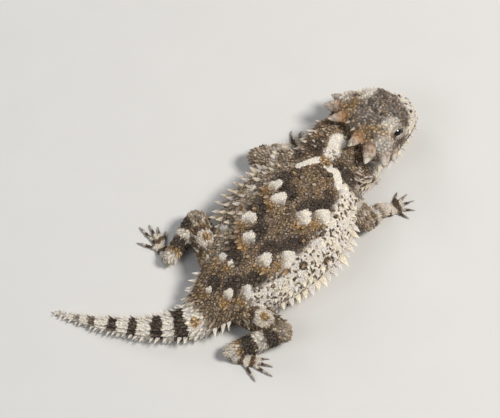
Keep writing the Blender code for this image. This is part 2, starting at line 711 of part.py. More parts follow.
def make_head(chance):
    stations = [row[0] for row in HEAD]
    forwards = []
    for first, second in zip(stations, stations[1:]):
        forwards += [first, (first + second) / 2]
    base = loft("head", [head_ring(forward) for forward in forwards + [stations[-1]]])
    pieces, cutters = head_spines(chance), []
    for sign, side_name in ((1, "left"), (-1, "right")):
        lids, cuts = eye_lids(sign)
        pieces.append(lids)
        cutters += cuts
        nostril = head_frame(NOSTRIL_AT, mirrored_turn(NOSTRIL_TURN, sign))[0]
        cutters.append(ball(nostril, NOSTRIL_RADIUS, 8, 6))
        eye = ball(head_place(EYE_AT[0], sign * EYE_AT[1], EYE_AT[2]), EYE_RADIUS)
        eye.name = "eye_" + side_name
        finish(eye, "eye", 0.1)
        for name, root, lean, length, radius in HORNS:
            boss, room = make_horn(name + "_" + side_name, sign, root, lean, length, radius)
            pieces.append(boss)
            cutters.append(room)
    head = fuse("head", base, pieces)
    carve(head, cutters)
    finish(head, "skin")


def limb_spines(first, second, chance, turns, size):
    """Pointed scales along a limb segment, on its upper and outer sides."""
    pieces = []
    a, b = Vector(first[:3]), Vector(second[:3])
    way = (b - a).normalized()
    across = UP.cross(way).normalized()
    other = way.cross(across)
    for degrees in turns:
        for share in LIMB_SPINE_SHARES:
            radius = first[3] + (second[3] - first[3]) * share
            turn = math.radians(degrees + chance.uniform(-6, 6))
            normal = across * math.cos(turn) + other * math.sin(turn)
            root = a.lerp(b, share) + normal * radius
            long = size * chance.uniform(0.85, 1.15)
            pieces.append(spine(root, normal + way * 0.5, long, size * 0.62, size * 0.5, way))
    return pieces


def make_toe(root, way, length):
    """One toe with its claw, flat underneath."""
    across = UP.cross(way)
    rings = []
    for share, radius, high in TOE:
        centre = root + way * length * share + UP * high
        rings.append(oval(centre, across, UP, radius, radius, TOE_SIDES))
    for share, radius, high in CLAW:
        centre = root + way * (length * TOE[-1][0] + CLAW_LONG * share) + UP * high
        rings.append(oval(centre, across, UP, radius, radius, TOE_SIDES))
    return loft("toe", rings)


def make_paw(name, limb, wrist):
    """A hand or foot flat on the floor, with five clawed toes."""
    degrees, half_long, half_wide, turns, lengths = PAWS[limb]
    way = level_way(degrees)
    side = UP.cross(way)
    centre = Vector((wrist.x, wrist.y, 0)) + way * half_long * 0.75
    rings = []
    for k in range(SOLE_RINGS):
        share = -1 + 2 * (k + 0.35) / (SOLE_RINGS - 0.3)
        slim = math.sqrt(max(1 - share * share, 0.03))
        high = SOLE_HIGH + (wrist.z - 0.2) * max(0, 0.5 - share) * 0.9
        middle = centre + way * share * half_long + UP * 0.55
        rings.append(oval(middle, side, UP, half_wide * slim, high * slim, SOLE_SIDES))
    base = loft(name, rings)
    toes = []
    for turn, length in zip(turns, lengths):
        toe_way = level_way(degrees + turn)
        root = centre + way * half_long * 0.35 + toe_way * half_wide * 0.2
        toes.append(make_toe(root, toe_way, length + half_wide * 0.8))
    return fuse(name, base, toes)


def make_limb(limb, chance):
    """Upper segment, lower segment and paw, parted by mitred gaps at the joints."""
    kind, side_name = limb.split("_")
    upper_name, lower_name, paw_name = (part + "_" + side_name for part in SEGMENTS[kind])
    root, knee, ankle = LIMBS[limb]
    a, b, c = Vector(root[:3]), Vector(knee[:3]), Vector(ankle[:3])
    upper_way, lower_way = (b - a).normalized(), (c - b).normalized()
    bend = (upper_way + lower_way).normalized()
    turn = (lower_way + level_way(PAWS[limb][0])).normalized()
    upper = capsule(a, b, root[3], knee[3])
    upper = fuse(upper_name, upper, limb_spines(root, knee, chance, *UPPER_SPINES))
    slice_off(upper, b - bend * GAP / 2, bend)
    carve(upper, [trunk_cutter()])
    lower = capsule(b, c, knee[3] * ELBOW_SLIM, ankle[3])
    lower = fuse(lower_name, lower, limb_spines(knee, ankle, chance, *LOWER_SPINES))
    slice_off(lower, b + bend * GAP / 2, -bend)
    slice_off(lower, c - turn * GAP / 2, turn)
    paw = make_paw(paw_name, limb, c)
    slice_off(paw, c + turn * GAP / 2, -turn)
    for piece in (upper, lower, paw):
        finish(piece, "skin")


def centre_on_footprint():
    """Moves the whole animal so that its box stands centred on the origin."""
    corners = []
    for obj in bpy.context.scene.objects:
        corners += [vertex.co for vertex in obj.data.vertices]
    low = [min(c[k] for c in corners) for k in range(3)]
    high = [max(c[k] for c in corners) for k in range(3)]
    shift = Vector(((low[0] + high[0]) / 2, (low[1] + high[1]) / 2, low[2]))
    for obj in bpy.context.scene.objects:
        obj.location = -shift


def main():
    clear_scene()
    chance = random.Random(SEED)
    make_torso(chance)
    make_neck(chance)
    make_tail(chance)
    make_head(chance)
    for limb in LIMBS:
        make_limb(limb, chance)
    centre_on_footprint()


main()
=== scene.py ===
"""Horned lizard: the looks of a life-size still model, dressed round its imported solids.

Run as a script, it registers the operators below and calls them in order. Lengths inside the
functions are in millimetres, in the frame that the body rows were drawn in; to_metres turns them
into the model's frame.
"""

import math

import bpy
import numpy as np
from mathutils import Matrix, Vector, noise
from mathutils.kdtree import KDTree


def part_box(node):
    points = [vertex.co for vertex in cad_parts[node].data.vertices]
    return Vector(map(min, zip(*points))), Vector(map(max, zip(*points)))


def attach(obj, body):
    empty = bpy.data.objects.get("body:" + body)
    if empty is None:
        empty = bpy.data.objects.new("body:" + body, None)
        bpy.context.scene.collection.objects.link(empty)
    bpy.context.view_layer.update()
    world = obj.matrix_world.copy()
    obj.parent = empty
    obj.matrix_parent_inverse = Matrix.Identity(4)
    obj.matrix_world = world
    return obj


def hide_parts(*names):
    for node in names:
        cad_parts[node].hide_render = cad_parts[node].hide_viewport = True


bl_info = {
    "name": "Horned lizard",
    "version": (1, 0, 0),
    "blender": (4, 5, 0),
    "location": "View3D > Sidebar > Lizard",
    "description": "Skin, scales, spines, horns, eyes and claws of a horned lizard",
    "category": "Object",
}

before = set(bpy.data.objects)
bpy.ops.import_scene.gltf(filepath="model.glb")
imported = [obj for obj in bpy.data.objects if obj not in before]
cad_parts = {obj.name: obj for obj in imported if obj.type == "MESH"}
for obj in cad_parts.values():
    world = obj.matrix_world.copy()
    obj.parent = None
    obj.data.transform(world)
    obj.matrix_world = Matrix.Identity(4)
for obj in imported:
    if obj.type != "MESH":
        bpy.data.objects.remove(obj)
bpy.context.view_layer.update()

MM = 0.001
BODY_NAME = "root"
UP = np.array((0.0, 0.0, 1.0))
SEED = 11

# Body stations from the tail tip to the nape:
# x, y, half width, height of the back, height of the belly, height of the widest line
BODY = np.array((
    (-54.2, 31.8, 0.4, 0.9, 0.0, 0.4),
    (-52.7, 27.8, 0.9, 1.5, 0.0, 0.65),
    (-50.9, 23.4, 1.4, 2.1, 0.0, 0.95),
    (-48.6, 18.8, 1.9, 2.7, 0.0, 1.2),
    (-45.6, 13.6, 2.5, 3.4, 0.0, 1.5),
    (-42.3, 8.4, 3.1, 4.2, 0.0, 1.9),
    (-38.0, 3.6, 3.9, 5.3, 0.0, 2.3),
    (-33.5, 0.2, 5.1, 7.0, 0.0, 2.9),
    (-28.0, -1.1, 7.0, 9.2, 0.0, 3.7),
    (-22.5, -1.8, 9.2, 11.2, 0.0, 4.4),
    (-17.0, -2.7, 11.9, 12.8, 0.0, 4.9),
    (-12.0, -3.2, 14.2, 13.9, 0.0, 5.2),
    (-6.0, -3.2, 16.2, 14.8, 0.0, 5.4),
    (0.0, -2.9, 17.3, 15.2, 0.0, 5.5),
    (6.0, -2.5, 17.1, 15.1, 0.0, 5.5),
    (12.0, -2.2, 15.4, 14.5, 0.1, 5.6),
    (16.5, -1.8, 12.9, 13.7, 0.5, 5.9),
    (20.5, -1.1, 10.6, 12.9, 1.2, 6.3),
    (25.0, 0.0, 9.4, 12.0, 2.0, 6.6),
    (30.0, 1.3, 8.8, 10.7, 2.6, 6.8),
    (34.6, 1.1, 8.2, 9.9, 3.0, 6.8),
    (39.0, -0.1, 8.0, 9.9, 3.2, 6.8),
))
SIDE_CURVE, BACK_CURVE, BELLY_CURVE, BELLY_FLATTEN = 2.3, 2.15, 2.4, 1.3
NECK_END, NECK_TURN = 20.0, 3.5
BODY_LAST = 20.7
# Row numbers: a row amid the trunk, where the tail's scales end, and where its bands fade into the rump
MIDDLE_ROW, TAIL_LAST = 10, 7.5
TAIL_FADE_FROM, TAIL_FADE = 7.7, 0.35
FRINGE_FROM, FRINGE_TO = 10.3, 15.95
BACK_FROM, BACK_TO = 7.85, 17.1
WIDEST = BODY[:, 2].max()

# The head's place and turns, and its stations: forward, half width, top, bottom
HEAD_AT = np.array((30.0, 1.9, 7.7))
HEAD_YAW, HEAD_ROLL = math.radians(-21.0), math.radians(9.0)
HEAD = np.array((
    (4.5, 8.2, 5.2, -4.3),
    (6.2, 10.2, 6.2, -4.7),
    (8.0, 11.3, 6.8, -4.9),
    (10.0, 11.7, 7.0, -5.0),
    (12.0, 11.0, 7.1, -5.0),
    (14.0, 9.8, 7.2, -4.9),
    (16.0, 8.8, 6.8, -4.8),
    (18.0, 7.8, 5.5, -4.6),
    (20.0, 6.6, 4.0, -4.2),
    (21.8, 5.2, 2.7, -3.7),
    (23.0, 4.0, 1.8, -3.1),
    (23.7, 2.7, 1.1, -2.5),
    (24.0, 1.5, 0.5, -2.0),
))
HEAD_CURVE = 2.8
MOUTH_FROM, MOUTH_HEIGHT = 9.5, -1.1
BROW_AT, BROW_SIDE, BROW_HIGH, BROW_LONG, BROW_WIDE = 14.2, 6.2, 1.2, 3.0, 1.6
CROWN_AT, CROWN_DEEP, CROWN_LONG, CROWN_WIDE = 11.5, 0.5, 4.0, 2.4
EYE_AT = np.array((14.6, 6.9, 3.1))
EYE_RADIUS, LID = 1.9, 0.55
EYE_TILT = math.radians(44)
SLIT_HALF, SLIT_OPEN, SLIT_SLANT = 1.75, 0.85, 0.12
NOSTRIL_AT, NOSTRIL_TURN, NOSTRIL_RADIUS = 21.8, math.radians(62), 0.45

# Horns: name, root in the head's frame on the left side, direction, length and root radius
HORNS = (
    ("horn_occipital", (5.3, 3.8, 4.5), (-0.95, 0.32, 0.08), 4.9, 1.55),
    ("horn_temporal_rear", (6.5, 7.9, 3.3), (-0.75, 0.62, -0.12), 5.5, 1.75),
    ("horn_temporal_middle", (9.0, 10.0, 1.6), (-0.45, 0.86, -0.2), 5.0, 1.6),
    ("horn_temporal_front", (11.6, 10.2, 0.4), (-0.35, 0.92, -0.12), 3.8, 1.3),
)
HORN_BOSS, HORN_BEND = 0.8, 0.09

# Limbs, as joints from inside the trunk outwards: x, y, z, radius
LIMBS = {
    "arm_right": ((20.0, -6.5, 6.8, 3.7), (18.3, -17.6, 4.3, 2.9), (25.2, -18.7, 2.3, 1.8)),
    "arm_left": ((20.0, 4.5, 6.8, 3.7), (14.7, 17.0, 4.2, 2.8), (21.9, 13.4, 2.3, 1.8)),
    "leg_right": ((-23.5, -3.5, 5.4, 4.3), (-21.4, -20.4, 4.6, 3.2), (-34.0, -12.6, 2.2, 1.8)),
    "leg_left": ((-19.5, 1.0, 5.5, 4.3), (-10.6, 17.6, 4.6, 3.1), (-23.2, 16.8, 2.2, 1.8)),
}
# Hands and feet: direction in degrees, sole half length and half width, toe turns and lengths
PAWS = {
    "arm_right": (-30.0, 2.0, 1.9, (52, 26, 2, -24, -52), (2.4, 3.4, 3.8, 3.4, 2.5)),
    "arm_left": (-14.0, 2.0, 1.9, (-52, -26, -2, 24, 52), (2.4, 3.4, 3.8, 3.4, 2.5)),
    "leg_right": (-69.0, 3.4, 1.8, (36, 18, 3, -13, -42), (3.4, 4.8, 6.2, 7.2, 4.8)),
    "leg_left": (68.0, 3.4, 1.8, (-36, -18, -3, 13, 42), (3.4, 4.8, 6.2, 7.2, 4.8)),
}
SOLE_HIGH, CLAW_LONG = 0.9, 1.5
# Loose folds low on the neck behind the jaw, each from its rear to its front end: x, y, z, radius
NECK_FOLDS = (
    ((25.8, -7.3, 4.0, 2.7), (29.6, -10.1, 3.9, 3.0)),
    ((25.8, 7.4, 4.0, 2.5), (29.4, 8.5, 3.9, 2.5)),
)
FLESH = ("torso", "neck", "head", "tail_base", "tail_middle", "tail_tip") + tuple(
    f"{part}_{side}"
    for part in ("upper_arm", "forearm", "hand", "thigh", "shank", "foot")
    for side in ("left", "right")
)
BACK_BANDS = (16.2, 4.4, -8.6, -20.6)


def unit(v):
    v = np.asarray(v, float)
    return v / np.maximum(np.linalg.norm(v, axis=-1, keepdims=True), 1e-9)


def columns(*values):
    return np.stack(values, axis=-1)


def level_way(radians):
    return np.array((math.cos(radians), math.sin(radians), 0.0))


def spline(rows, t):
    """A smooth curve through rows of numbers, read at row numbers t."""
    t = np.asarray(t, float)
    last = len(rows) - 1
    i = np.clip(np.floor(t), 0, last - 1).astype(int)
    u = (t - i)[..., None]
    ends = np.vstack([2 * rows[0] - rows[1], rows, 2 * rows[-1] - rows[-2]])
    p0, p1, p2, p3 = ends[i], ends[i + 1], ends[i + 2], ends[i + 3]
    curve = 2 * p1 + (p2 - p0) * u + (2 * p0 - 5 * p1 + 4 * p2 - p3) * u**2
    return 0.5 * (curve + (3 * p1 - p0 - 3 * p2 + p3) * u**3)


def row_at(rows, first):
    """The row numbers at which the first column reaches the values."""
    t = np.linspace(0, len(rows) - 1, 2000)
    return np.interp(first, spline(rows, t)[:, 0], t)


def signed_power(value, power):
    return np.sign(value) * np.abs(value) ** power


def body_heading(t):
    """Unit vectors along the body, turned into the head's yaw at the nape."""
    t = np.asarray(t, float)
    along = spline(BODY, t + 0.05)[..., :2] - spline(BODY, t - 0.05)[..., :2]
    along = unit(along)
    share = np.clip((t - NECK_END + NECK_TURN) / NECK_TURN, 0, 1)[..., None]
    flat = unit(along * (1 - share) + level_way(HEAD_YAW)[:2] * share)
    return np.concatenate([flat, np.zeros_like(flat[..., :1])], axis=-1)


def body_point(t, angle, grow=0.0):
    """Points of the body's surface at row number t. Angle 0 is the left side, a quarter turn the back."""
    t, angle = np.broadcast_arrays(np.asarray(t, float), angle)
    row = spline(BODY, t)
    x, y, half, top, bottom, widest = np.moveaxis(row, -1, 0)
    side = np.cross(UP, body_heading(t))
    across = np.maximum(half + grow, 0.1) * signed_power(np.cos(angle), 2 / SIDE_CURVE)
    rise = np.sin(angle)
    back = widest + (np.maximum(top + grow - widest, 0.05)) * np.abs(rise) ** (2 / BACK_CURVE)
    drop = np.minimum(1, BELLY_FLATTEN * np.abs(rise) ** (2 / BELLY_CURVE))
    belly = widest - (widest - bottom + grow) * drop
    z = np.maximum(np.where(rise >= 0, back, belly), -grow)
    return columns(x, y, z) + side * across[..., None]


def head_matrix():
    """Columns are the head's forward, left and up directions."""
    yaw, roll = HEAD_YAW, HEAD_ROLL
    forward = level_way(yaw)
    side = np.array((-math.sin(yaw) * math.cos(roll), math.cos(yaw) * math.cos(roll), -math.sin(roll)))
    return np.stack([forward, side, np.cross(forward, side)], axis=1)


HEAD_AXES = head_matrix()


def head_place(local):
    return HEAD_AT + np.asarray(local, float) @ HEAD_AXES.T


def head_turn(vector):
    return np.asarray(vector, float) @ HEAD_AXES.T


def to_head(points):
    return (np.asarray(points, float) - HEAD_AT) @ HEAD_AXES


def head_local(forward, angle, grow=0.0):
    """Points of the head's surface in its own frame, with brows and a hollow crown."""
    forward, angle = np.broadcast_arrays(np.asarray(forward, float), angle)
    _, half, top, bottom = np.moveaxis(spline(HEAD, row_at(HEAD, forward)), -1, 0)
    side = np.maximum(half + grow, 0.2) * signed_power(np.cos(angle), 2 / HEAD_CURVE)
    rise = np.sin(angle)
    up = np.where(rise >= 0, top + grow, -bottom + grow) * signed_power(rise, 2 / HEAD_CURVE)
    brow = np.exp(-(((forward - BROW_AT) / BROW_LONG) ** 2) - ((np.abs(side) - BROW_SIDE) / BROW_WIDE) ** 2)
    crown = np.exp(-(((forward - CROWN_AT) / CROWN_LONG) ** 2) - (side / CROWN_WIDE) ** 2)
    up = up + np.where(rise > 0, BROW_HIGH * brow - CROWN_DEEP * crown, 0)
    return columns(forward, side, up)


def model_shift():
    """From the frame of the body rows to the model's: the left eye's solid shows it."""
    low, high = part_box("eye_left")
    middle = (np.array(low) + np.array(high)) / 2
    return middle / MM - head_place(EYE_AT)


SHIFT = model_shift()


def to_metres(points):
    return (np.asarray(points, float) + SHIFT) * MM


class Soup:
    """Points and faces that grow, piece by piece, into one mesh."""

    def __init__(self):
        self.points, self.faces, self.count = [], [], 0

    def add(self, points, faces):
        points = np.asarray(points, float).reshape(-1, 3)
        self.faces += [tuple(int(i) + self.count for i in face) for face in faces]
        self.points.append(points)
        self.count += len(points)

    def add_rings(self, rings):
        """A closed tube through rings of points, with flat ends."""
        rings = np.asarray(rings, float)
        count, sides = rings.shape[:2]
        faces = [tuple(range(sides))[::-1], tuple(range((count - 1) * sides, count * sides))]
        for i in range(count - 1):
            for j in range(sides):
                k = (j + 1) % sides
                faces.append((i * sides + j, i * sides + k, (i + 1) * sides + k, (i + 1) * sides + j))
        self.add(rings, faces)

    def mesh(self, name, metres=True):
        points = np.concatenate(self.points)
        mesh = bpy.data.meshes.new(name)
        mesh.from_pydata((to_metres(points) if metres else points).tolist(), [], self.faces)
        mesh.update()
        return mesh


def new_object(name, data):
    obj = bpy.data.objects.new(name, data)
    bpy.context.scene.collection.objects.link(obj)
    return obj


def face_outward(obj):
    """Turns a closed mesh's faces so that its volume counts as positive."""
    bpy.context.view_layer.objects.active = obj
    obj.select_set(True)
    bpy.ops.object.mode_set(mode="EDIT")
    bpy.ops.mesh.select_all(action="SELECT")
    bpy.ops.mesh.normals_make_consistent(inside=False)
    bpy.ops.object.mode_set(mode="OBJECT")
    obj.select_set(False)


def circle(centre, across, other, radius, sides, high=None):
    a = 2 * math.pi * np.arange(sides) / sides
    high = radius if high is None else high
    return centre + np.outer(np.cos(a) * radius, across) + np.outer(np.sin(a) * high, other)


def above_floor(points, least=0.06):
    points = np.array(points)
    points[..., 2] = np.maximum(points[..., 2], least)
    return points


def side_axes(way):
    across = unit(np.cross(UP, way)) if abs(way[2]) < 0.98 else np.array((1.0, 0, 0))
    return across, unit(np.cross(way, across))


def limb_rings(first, second, sides=26, count=22, grow=-0.12, bulge=0.1):
    """Rings of a limb segment: rounded ends, and a muscle's slight swelling."""
    a, b = np.array(first[:3]), np.array(second[:3])
    length = np.linalg.norm(b - a)
    way = (b - a) / length
    across, other = side_axes(way)
    start, end = first[3] + grow, second[3] + grow
    rings = []
    for k in range(count):
        place = -start + (length + start + end) * k / (count - 1)
        share = min(max(place / length, 0), 1)
        radius = start + (end - start) * share
        radius *= 1 + bulge * math.sin(math.pi * min(max(share * 1.05, 0), 1))
        over = -place if place < 0 else max(place - length, 0)
        cap = math.sqrt(max(radius**2 - over**2, (0.12 * radius) ** 2))
        rings.append(circle(a + way * place, across, other, min(radius, cap), sides))
    return above_floor(rings)


def segment_way(joints, k):
    """The direction of a limb's upper segment, 0, or its lower one, 1."""
    return unit(np.array(joints[k + 1][:3]) - np.array(joints[k][:3]))


def paw_way(limb):
    return level_way(math.radians(PAWS[limb][0]))


def paw_centre(limb):
    wrist = np.array(LIMBS[limb][2][:3]) * (1, 1, 0)
    return wrist + paw_way(limb) * PAWS[limb][1] * 0.75


def paw_rings(limb):
    _, half_long, half_wide = PAWS[limb][:3]
    way = paw_way(limb)
    side = np.cross(UP, way)
    high_at_wrist = LIMBS[limb][2][2] - 0.2
    rings = []
    for k in range(15):
        share = -1 + 2 * k / 14
        slim = math.sqrt(max(1 - share * share, 0.03))
        high = SOLE_HIGH + high_at_wrist * max(0, 0.5 - share) * 0.9
        middle = paw_centre(limb) + way * share * half_long + UP * 0.55
        rings.append(circle(middle, side, UP, half_wide * slim, 20, high * slim))
    return above_floor(rings)


def toes_of(limb):
    """Root, direction and length of each toe, and where its claw starts."""
    degrees, half_long, half_wide, turns, lengths = PAWS[limb]
    way = paw_way(limb)
    for turn, length in zip(turns, lengths):
        toe_way = level_way(math.radians(degrees + turn))
        root = paw_centre(limb) + way * half_long * 0.35 + toe_way * half_wide * 0.2
        yield root, toe_way, length + half_wide * 0.8


def toe_rings(root, way, length):
    """A toe with three knuckles, flat underneath."""
    side = np.cross(UP, way)
    rings = []
    for k in range(22):
        share = k / 21 * 0.95
        radius = 0.6 - 0.17 * share + 0.05 * math.cos(share * 6 * math.pi)
        radius *= math.sqrt(max(1 - (max(share - 0.86, 0) / 0.1) ** 2, 0.1))
        rings.append(circle(root + way * length * share + UP * 0.5, side, UP, radius, 12))
    return above_floor(rings)


def horn_axes(sign, root, lean):
    """Where a horn is rooted on the left or right, its direction, and the two across it."""
    way = unit(head_turn(np.array(lean) * (1, sign, 1)))
    return head_place(np.array(root) * (1, sign, 1)), way, *side_axes(way)


def joined_flesh():
    """All the flesh as overlapping closed forms, in millimetres."""
    soup = Soup()
    angles = 2 * math.pi * (np.arange(96) + 0.5) / 96
    t = np.linspace(0.02, BODY_LAST, 300)
    soup.add_rings(body_point(t[:, None], angles[None, :], -0.22))
    forwards = np.concatenate([np.linspace(4.6, 22.6, 64), np.linspace(22.9, 23.95, 8)])
    soup.add_rings(head_place(head_local(forwards[:, None], angles[None, :], -0.2)))
    for joints in LIMBS.values():
        soup.add_rings(limb_rings(joints[0], joints[1]))
        soup.add_rings(limb_rings(joints[1], joints[2]))
    for limb in PAWS:
        soup.add_rings(paw_rings(limb))
        for toe in toes_of(limb):
            soup.add_rings(toe_rings(*toe))
    for rear, front in NECK_FOLDS:
        soup.add_rings(limb_rings(rear, front, bulge=0.0))
    for sign in (1, -1):
        eye = head_place(EYE_AT * (1, sign, 1))
        lid = EYE_RADIUS + LID + 0.15
        turns = np.linspace(0.08, math.pi - 0.08, 18)
        forward, side, _ = HEAD_AXES.T
        soup.add_rings([
            circle(eye + UP * lid * math.cos(a), forward, side, lid * math.sin(a), 24) for a in turns
        ])
        for _, root, lean, _, radius in HORNS:
            at, way, across, other = horn_axes(sign, root, lean)
            stations = ((-1.6, 1.3), (-0.5, 1.2), (0.3, 1.06), (HORN_BOSS - 0.05, 0.96))
            soup.add_rings([circle(at + way * d, across, other, radius * r, 20) for d, r in stations])
    return soup


def edge_pairs(mesh):
    pairs = np.empty(len(mesh.edges) * 2, int)
    mesh.edges.foreach_get("vertices", pairs)
    return pairs.reshape(-1, 2)


def points_of(mesh, name="co"):
    flat = np.empty(len(mesh.vertices) * 3)
    mesh.vertices.foreach_get(name, flat)
    return flat.reshape(-1, 3)


def set_points(mesh, points):
    mesh.vertices.foreach_set("co", points.astype(np.float32).ravel())
    mesh.update()


def relaxed(points, pairs, rounds, amount=0.5):
    """Points pulled towards the middle of their neighbours."""
    degree = np.bincount(pairs.ravel(), minlength=len(points))[:, None]
    for _ in range(rounds):
        total = np.zeros_like(points)
        np.add.at(total, pairs[:, 0], points[pairs[:, 1]])
        np.add.at(total, pairs[:, 1], points[pairs[:, 0]])
        points = points + (total / np.maximum(degree, 1) - points) * amount
    return points


def noise_at(points, scale, seed=0):
    """Smooth noise, from about -1 to 1, at each point."""
    away = Vector((seed * 17.3, seed * 5.1, seed * 9.7))
    return np.array([noise.noise(Vector(p) * scale + away) for p in np.asarray(points).tolist()])


def bump_near(distance, width):
    return np.exp(-((distance / width) ** 2))


def lip_height(forward):
    """How high the mouth's line runs in the head's frame."""
    return MOUTH_HEIGHT + 0.35 * np.clip((forward - 19) / 5, 0, 1) - 0.5 * np.clip((13 - forward) / 4, 0, 1)


def from_nostril(local):
    """Distance from the nearer nostril, for points in the head's frame."""
    pit = head_local(NOSTRIL_AT, NOSTRIL_TURN)
    forward, side, up = local.T
    return np.linalg.norm(columns(forward, np.abs(side), up) - pit, axis=1)


def skin_folds(points, normals):
    """How far each point of the skin moves along its normal: folds, mouth, nostrils and sagging."""
    local = to_head(points)
    forward, side, up = local.T
    on_head = (forward > 4) & (np.abs(side) < 12) & (up > -6.5)
    shift = np.zeros(len(points))
    lip = lip_height(forward)
    upright = np.abs(normals @ HEAD_AXES[:, 2]) < 0.85
    strength = np.clip((forward - MOUTH_FROM) / 1.5, 0, 1) * on_head * upright
    shift -= 0.42 * strength * bump_near(up - lip, 0.22)
    shift += 0.14 * strength * (bump_near(up - lip - 0.6, 0.45) + bump_near(up - lip + 0.6, 0.45))
    apart = from_nostril(local)
    shift += 0.22 * bump_near(apart - 0.75, 0.3) * on_head
    shift -= 0.55 * bump_near(apart, NOSTRIL_RADIUS) * on_head
    t, turn = body_place(points)
    nape = np.clip((t - 16.2) / 1.0, 0, 1) * np.clip((20.4 - t) / 0.8, 0, 1) * (forward < 4.5)
    wander = noise_at(points, 0.16, 3)
    shift += 0.3 * nape * np.sin(2.1 * math.pi * (t + 0.5 * wander)) * (np.sin(turn) < 0.75)
    loose = np.clip((t - 8.0) / 1.0, 0, 1) * np.clip((18.5 - t) / 1.0, 0, 1)
    flank = bump_near(np.sin(turn) - 0.25, 0.35) * loose * (points[:, 2] > 0.6)
    shift += 0.22 * flank * noise_at(points * (1.0, 0.45, 0.6), 0.42, 5)
    shift += 0.10 * noise_at(points, 0.55, 7) * (points[:, 2] > 0.8)
    return shift


def to_eye(points, sign):
    """Points as along, out and up from an eye's centre, where out looks through the opening."""
    x, y, z = (to_head(points) * (1, sign, 1) - EYE_AT).T
    c, s = math.cos(EYE_TILT), math.sin(EYE_TILT)
    return columns(x, y * c + z * s, z * c - y * s)


def from_eye(local, sign):
    x, out, up = np.asarray(local, float).T
    c, s = math.cos(EYE_TILT), math.sin(EYE_TILT)
    return head_place((EYE_AT + columns(x, out * c - up * s, out * s + up * c)) * (1, sign, 1))


def past_slit(local):
    """How far each point lies above or below the opening between the lids; less than 0 is inside."""
    opening = SLIT_OPEN * np.cos(np.clip(local[:, 0] / SLIT_HALF, -1, 1) * math.pi / 2)
    return np.abs(local[:, 2] - SLIT_SLANT * local[:, 0]) - opening


def sink_eyes(points):
    """Hollows an orbit round each eye, curls its lids in, and moves the skin in the slit behind the ball."""
    points = points.copy()
    lid = EYE_RADIUS + LID
    for sign in (1, -1):
        local = to_eye(points, sign)
        radius = np.linalg.norm(local, axis=1)
        reach = np.hypot(local[:, 0], local[:, 2])
        share = soft_step(reach, 1.7, 3.8)
        orbit = (local[:, 1] > 0) & (reach < 3.8) & (radius > lid) & (radius < lid + 2.5)
        sunk = lid + (radius - lid) * share
        points[orbit] = from_eye(unit(local[orbit]) * sunk[orbit, None], sign)
        local = to_eye(points, sign)
        radius = np.linalg.norm(local, axis=1)
        over = past_slit(local)
        near = (radius < lid + 0.6) & (local[:, 1] > 0.2) & (np.abs(local[:, 0]) < SLIT_HALF + 0.25)
        rim = near & (over >= 0) & (over < 0.6)
        curl = EYE_RADIUS + 0.2 + (LID - 0.2) * soft_step(over, 0.1, 0.6)
        edge = near & (over >= 0) & (over < 0.2)
        height = local[:, 2] - SLIT_SLANT * local[:, 0]
        local[edge, 2] -= np.sign(height[edge]) * over[edge]
        points[rim] = from_eye(unit(local[rim]) * curl[rim, None], sign)
        inside = near & (over < 0)
        points[inside] = from_eye(unit(local[inside]) * (EYE_RADIUS - 0.35), sign)
    return points


CENTRE_T = np.linspace(0, BODY_LAST, 420)
CENTRE = spline(BODY, CENTRE_T)[:, :2]
POINTS_AT_ONCE = 20000


def off_centre(points, t):
    """The half width at t, how far points lie to its left and over its widest line, and the height there."""
    row = spline(BODY, t)
    side = np.cross(UP, body_heading(t))
    offset = ((points[:, :2] - row[:, :2]) * side[:, :2]).sum(1)
    over = points[:, 2] - row[:, 5]
    high = np.where(over > 0, row[:, 3] - row[:, 5], row[:, 5] - row[:, 4])
    return row[:, 2], offset, over, np.maximum(high, 0.3)


def body_place(points):
    """Row number along the body and turn round it, for points near its surface."""
    points = np.asarray(points, float)
    t = np.empty(len(points))
    for start in range(0, len(points), POINTS_AT_ONCE):
        some = slice(start, start + POINTS_AT_ONCE)
        part = points[some, None, :2] - CENTRE[None, :, :]
        t[some] = CENTRE_T[np.argmin((part**2).sum(-1), axis=1)]
    half, offset, over, high = off_centre(points, t)
    return t, np.arctan2(over / high, offset / np.maximum(half, 0.3))


# Numbers of the parts in the list below, where each limb has three
ON_BODY, ON_HEAD, FIRST_LIMB = 0, 1, 2
PARTS = ["body", "head"] + [limb + "_" + part for limb in LIMBS for part in ("upper", "lower", "paw")]


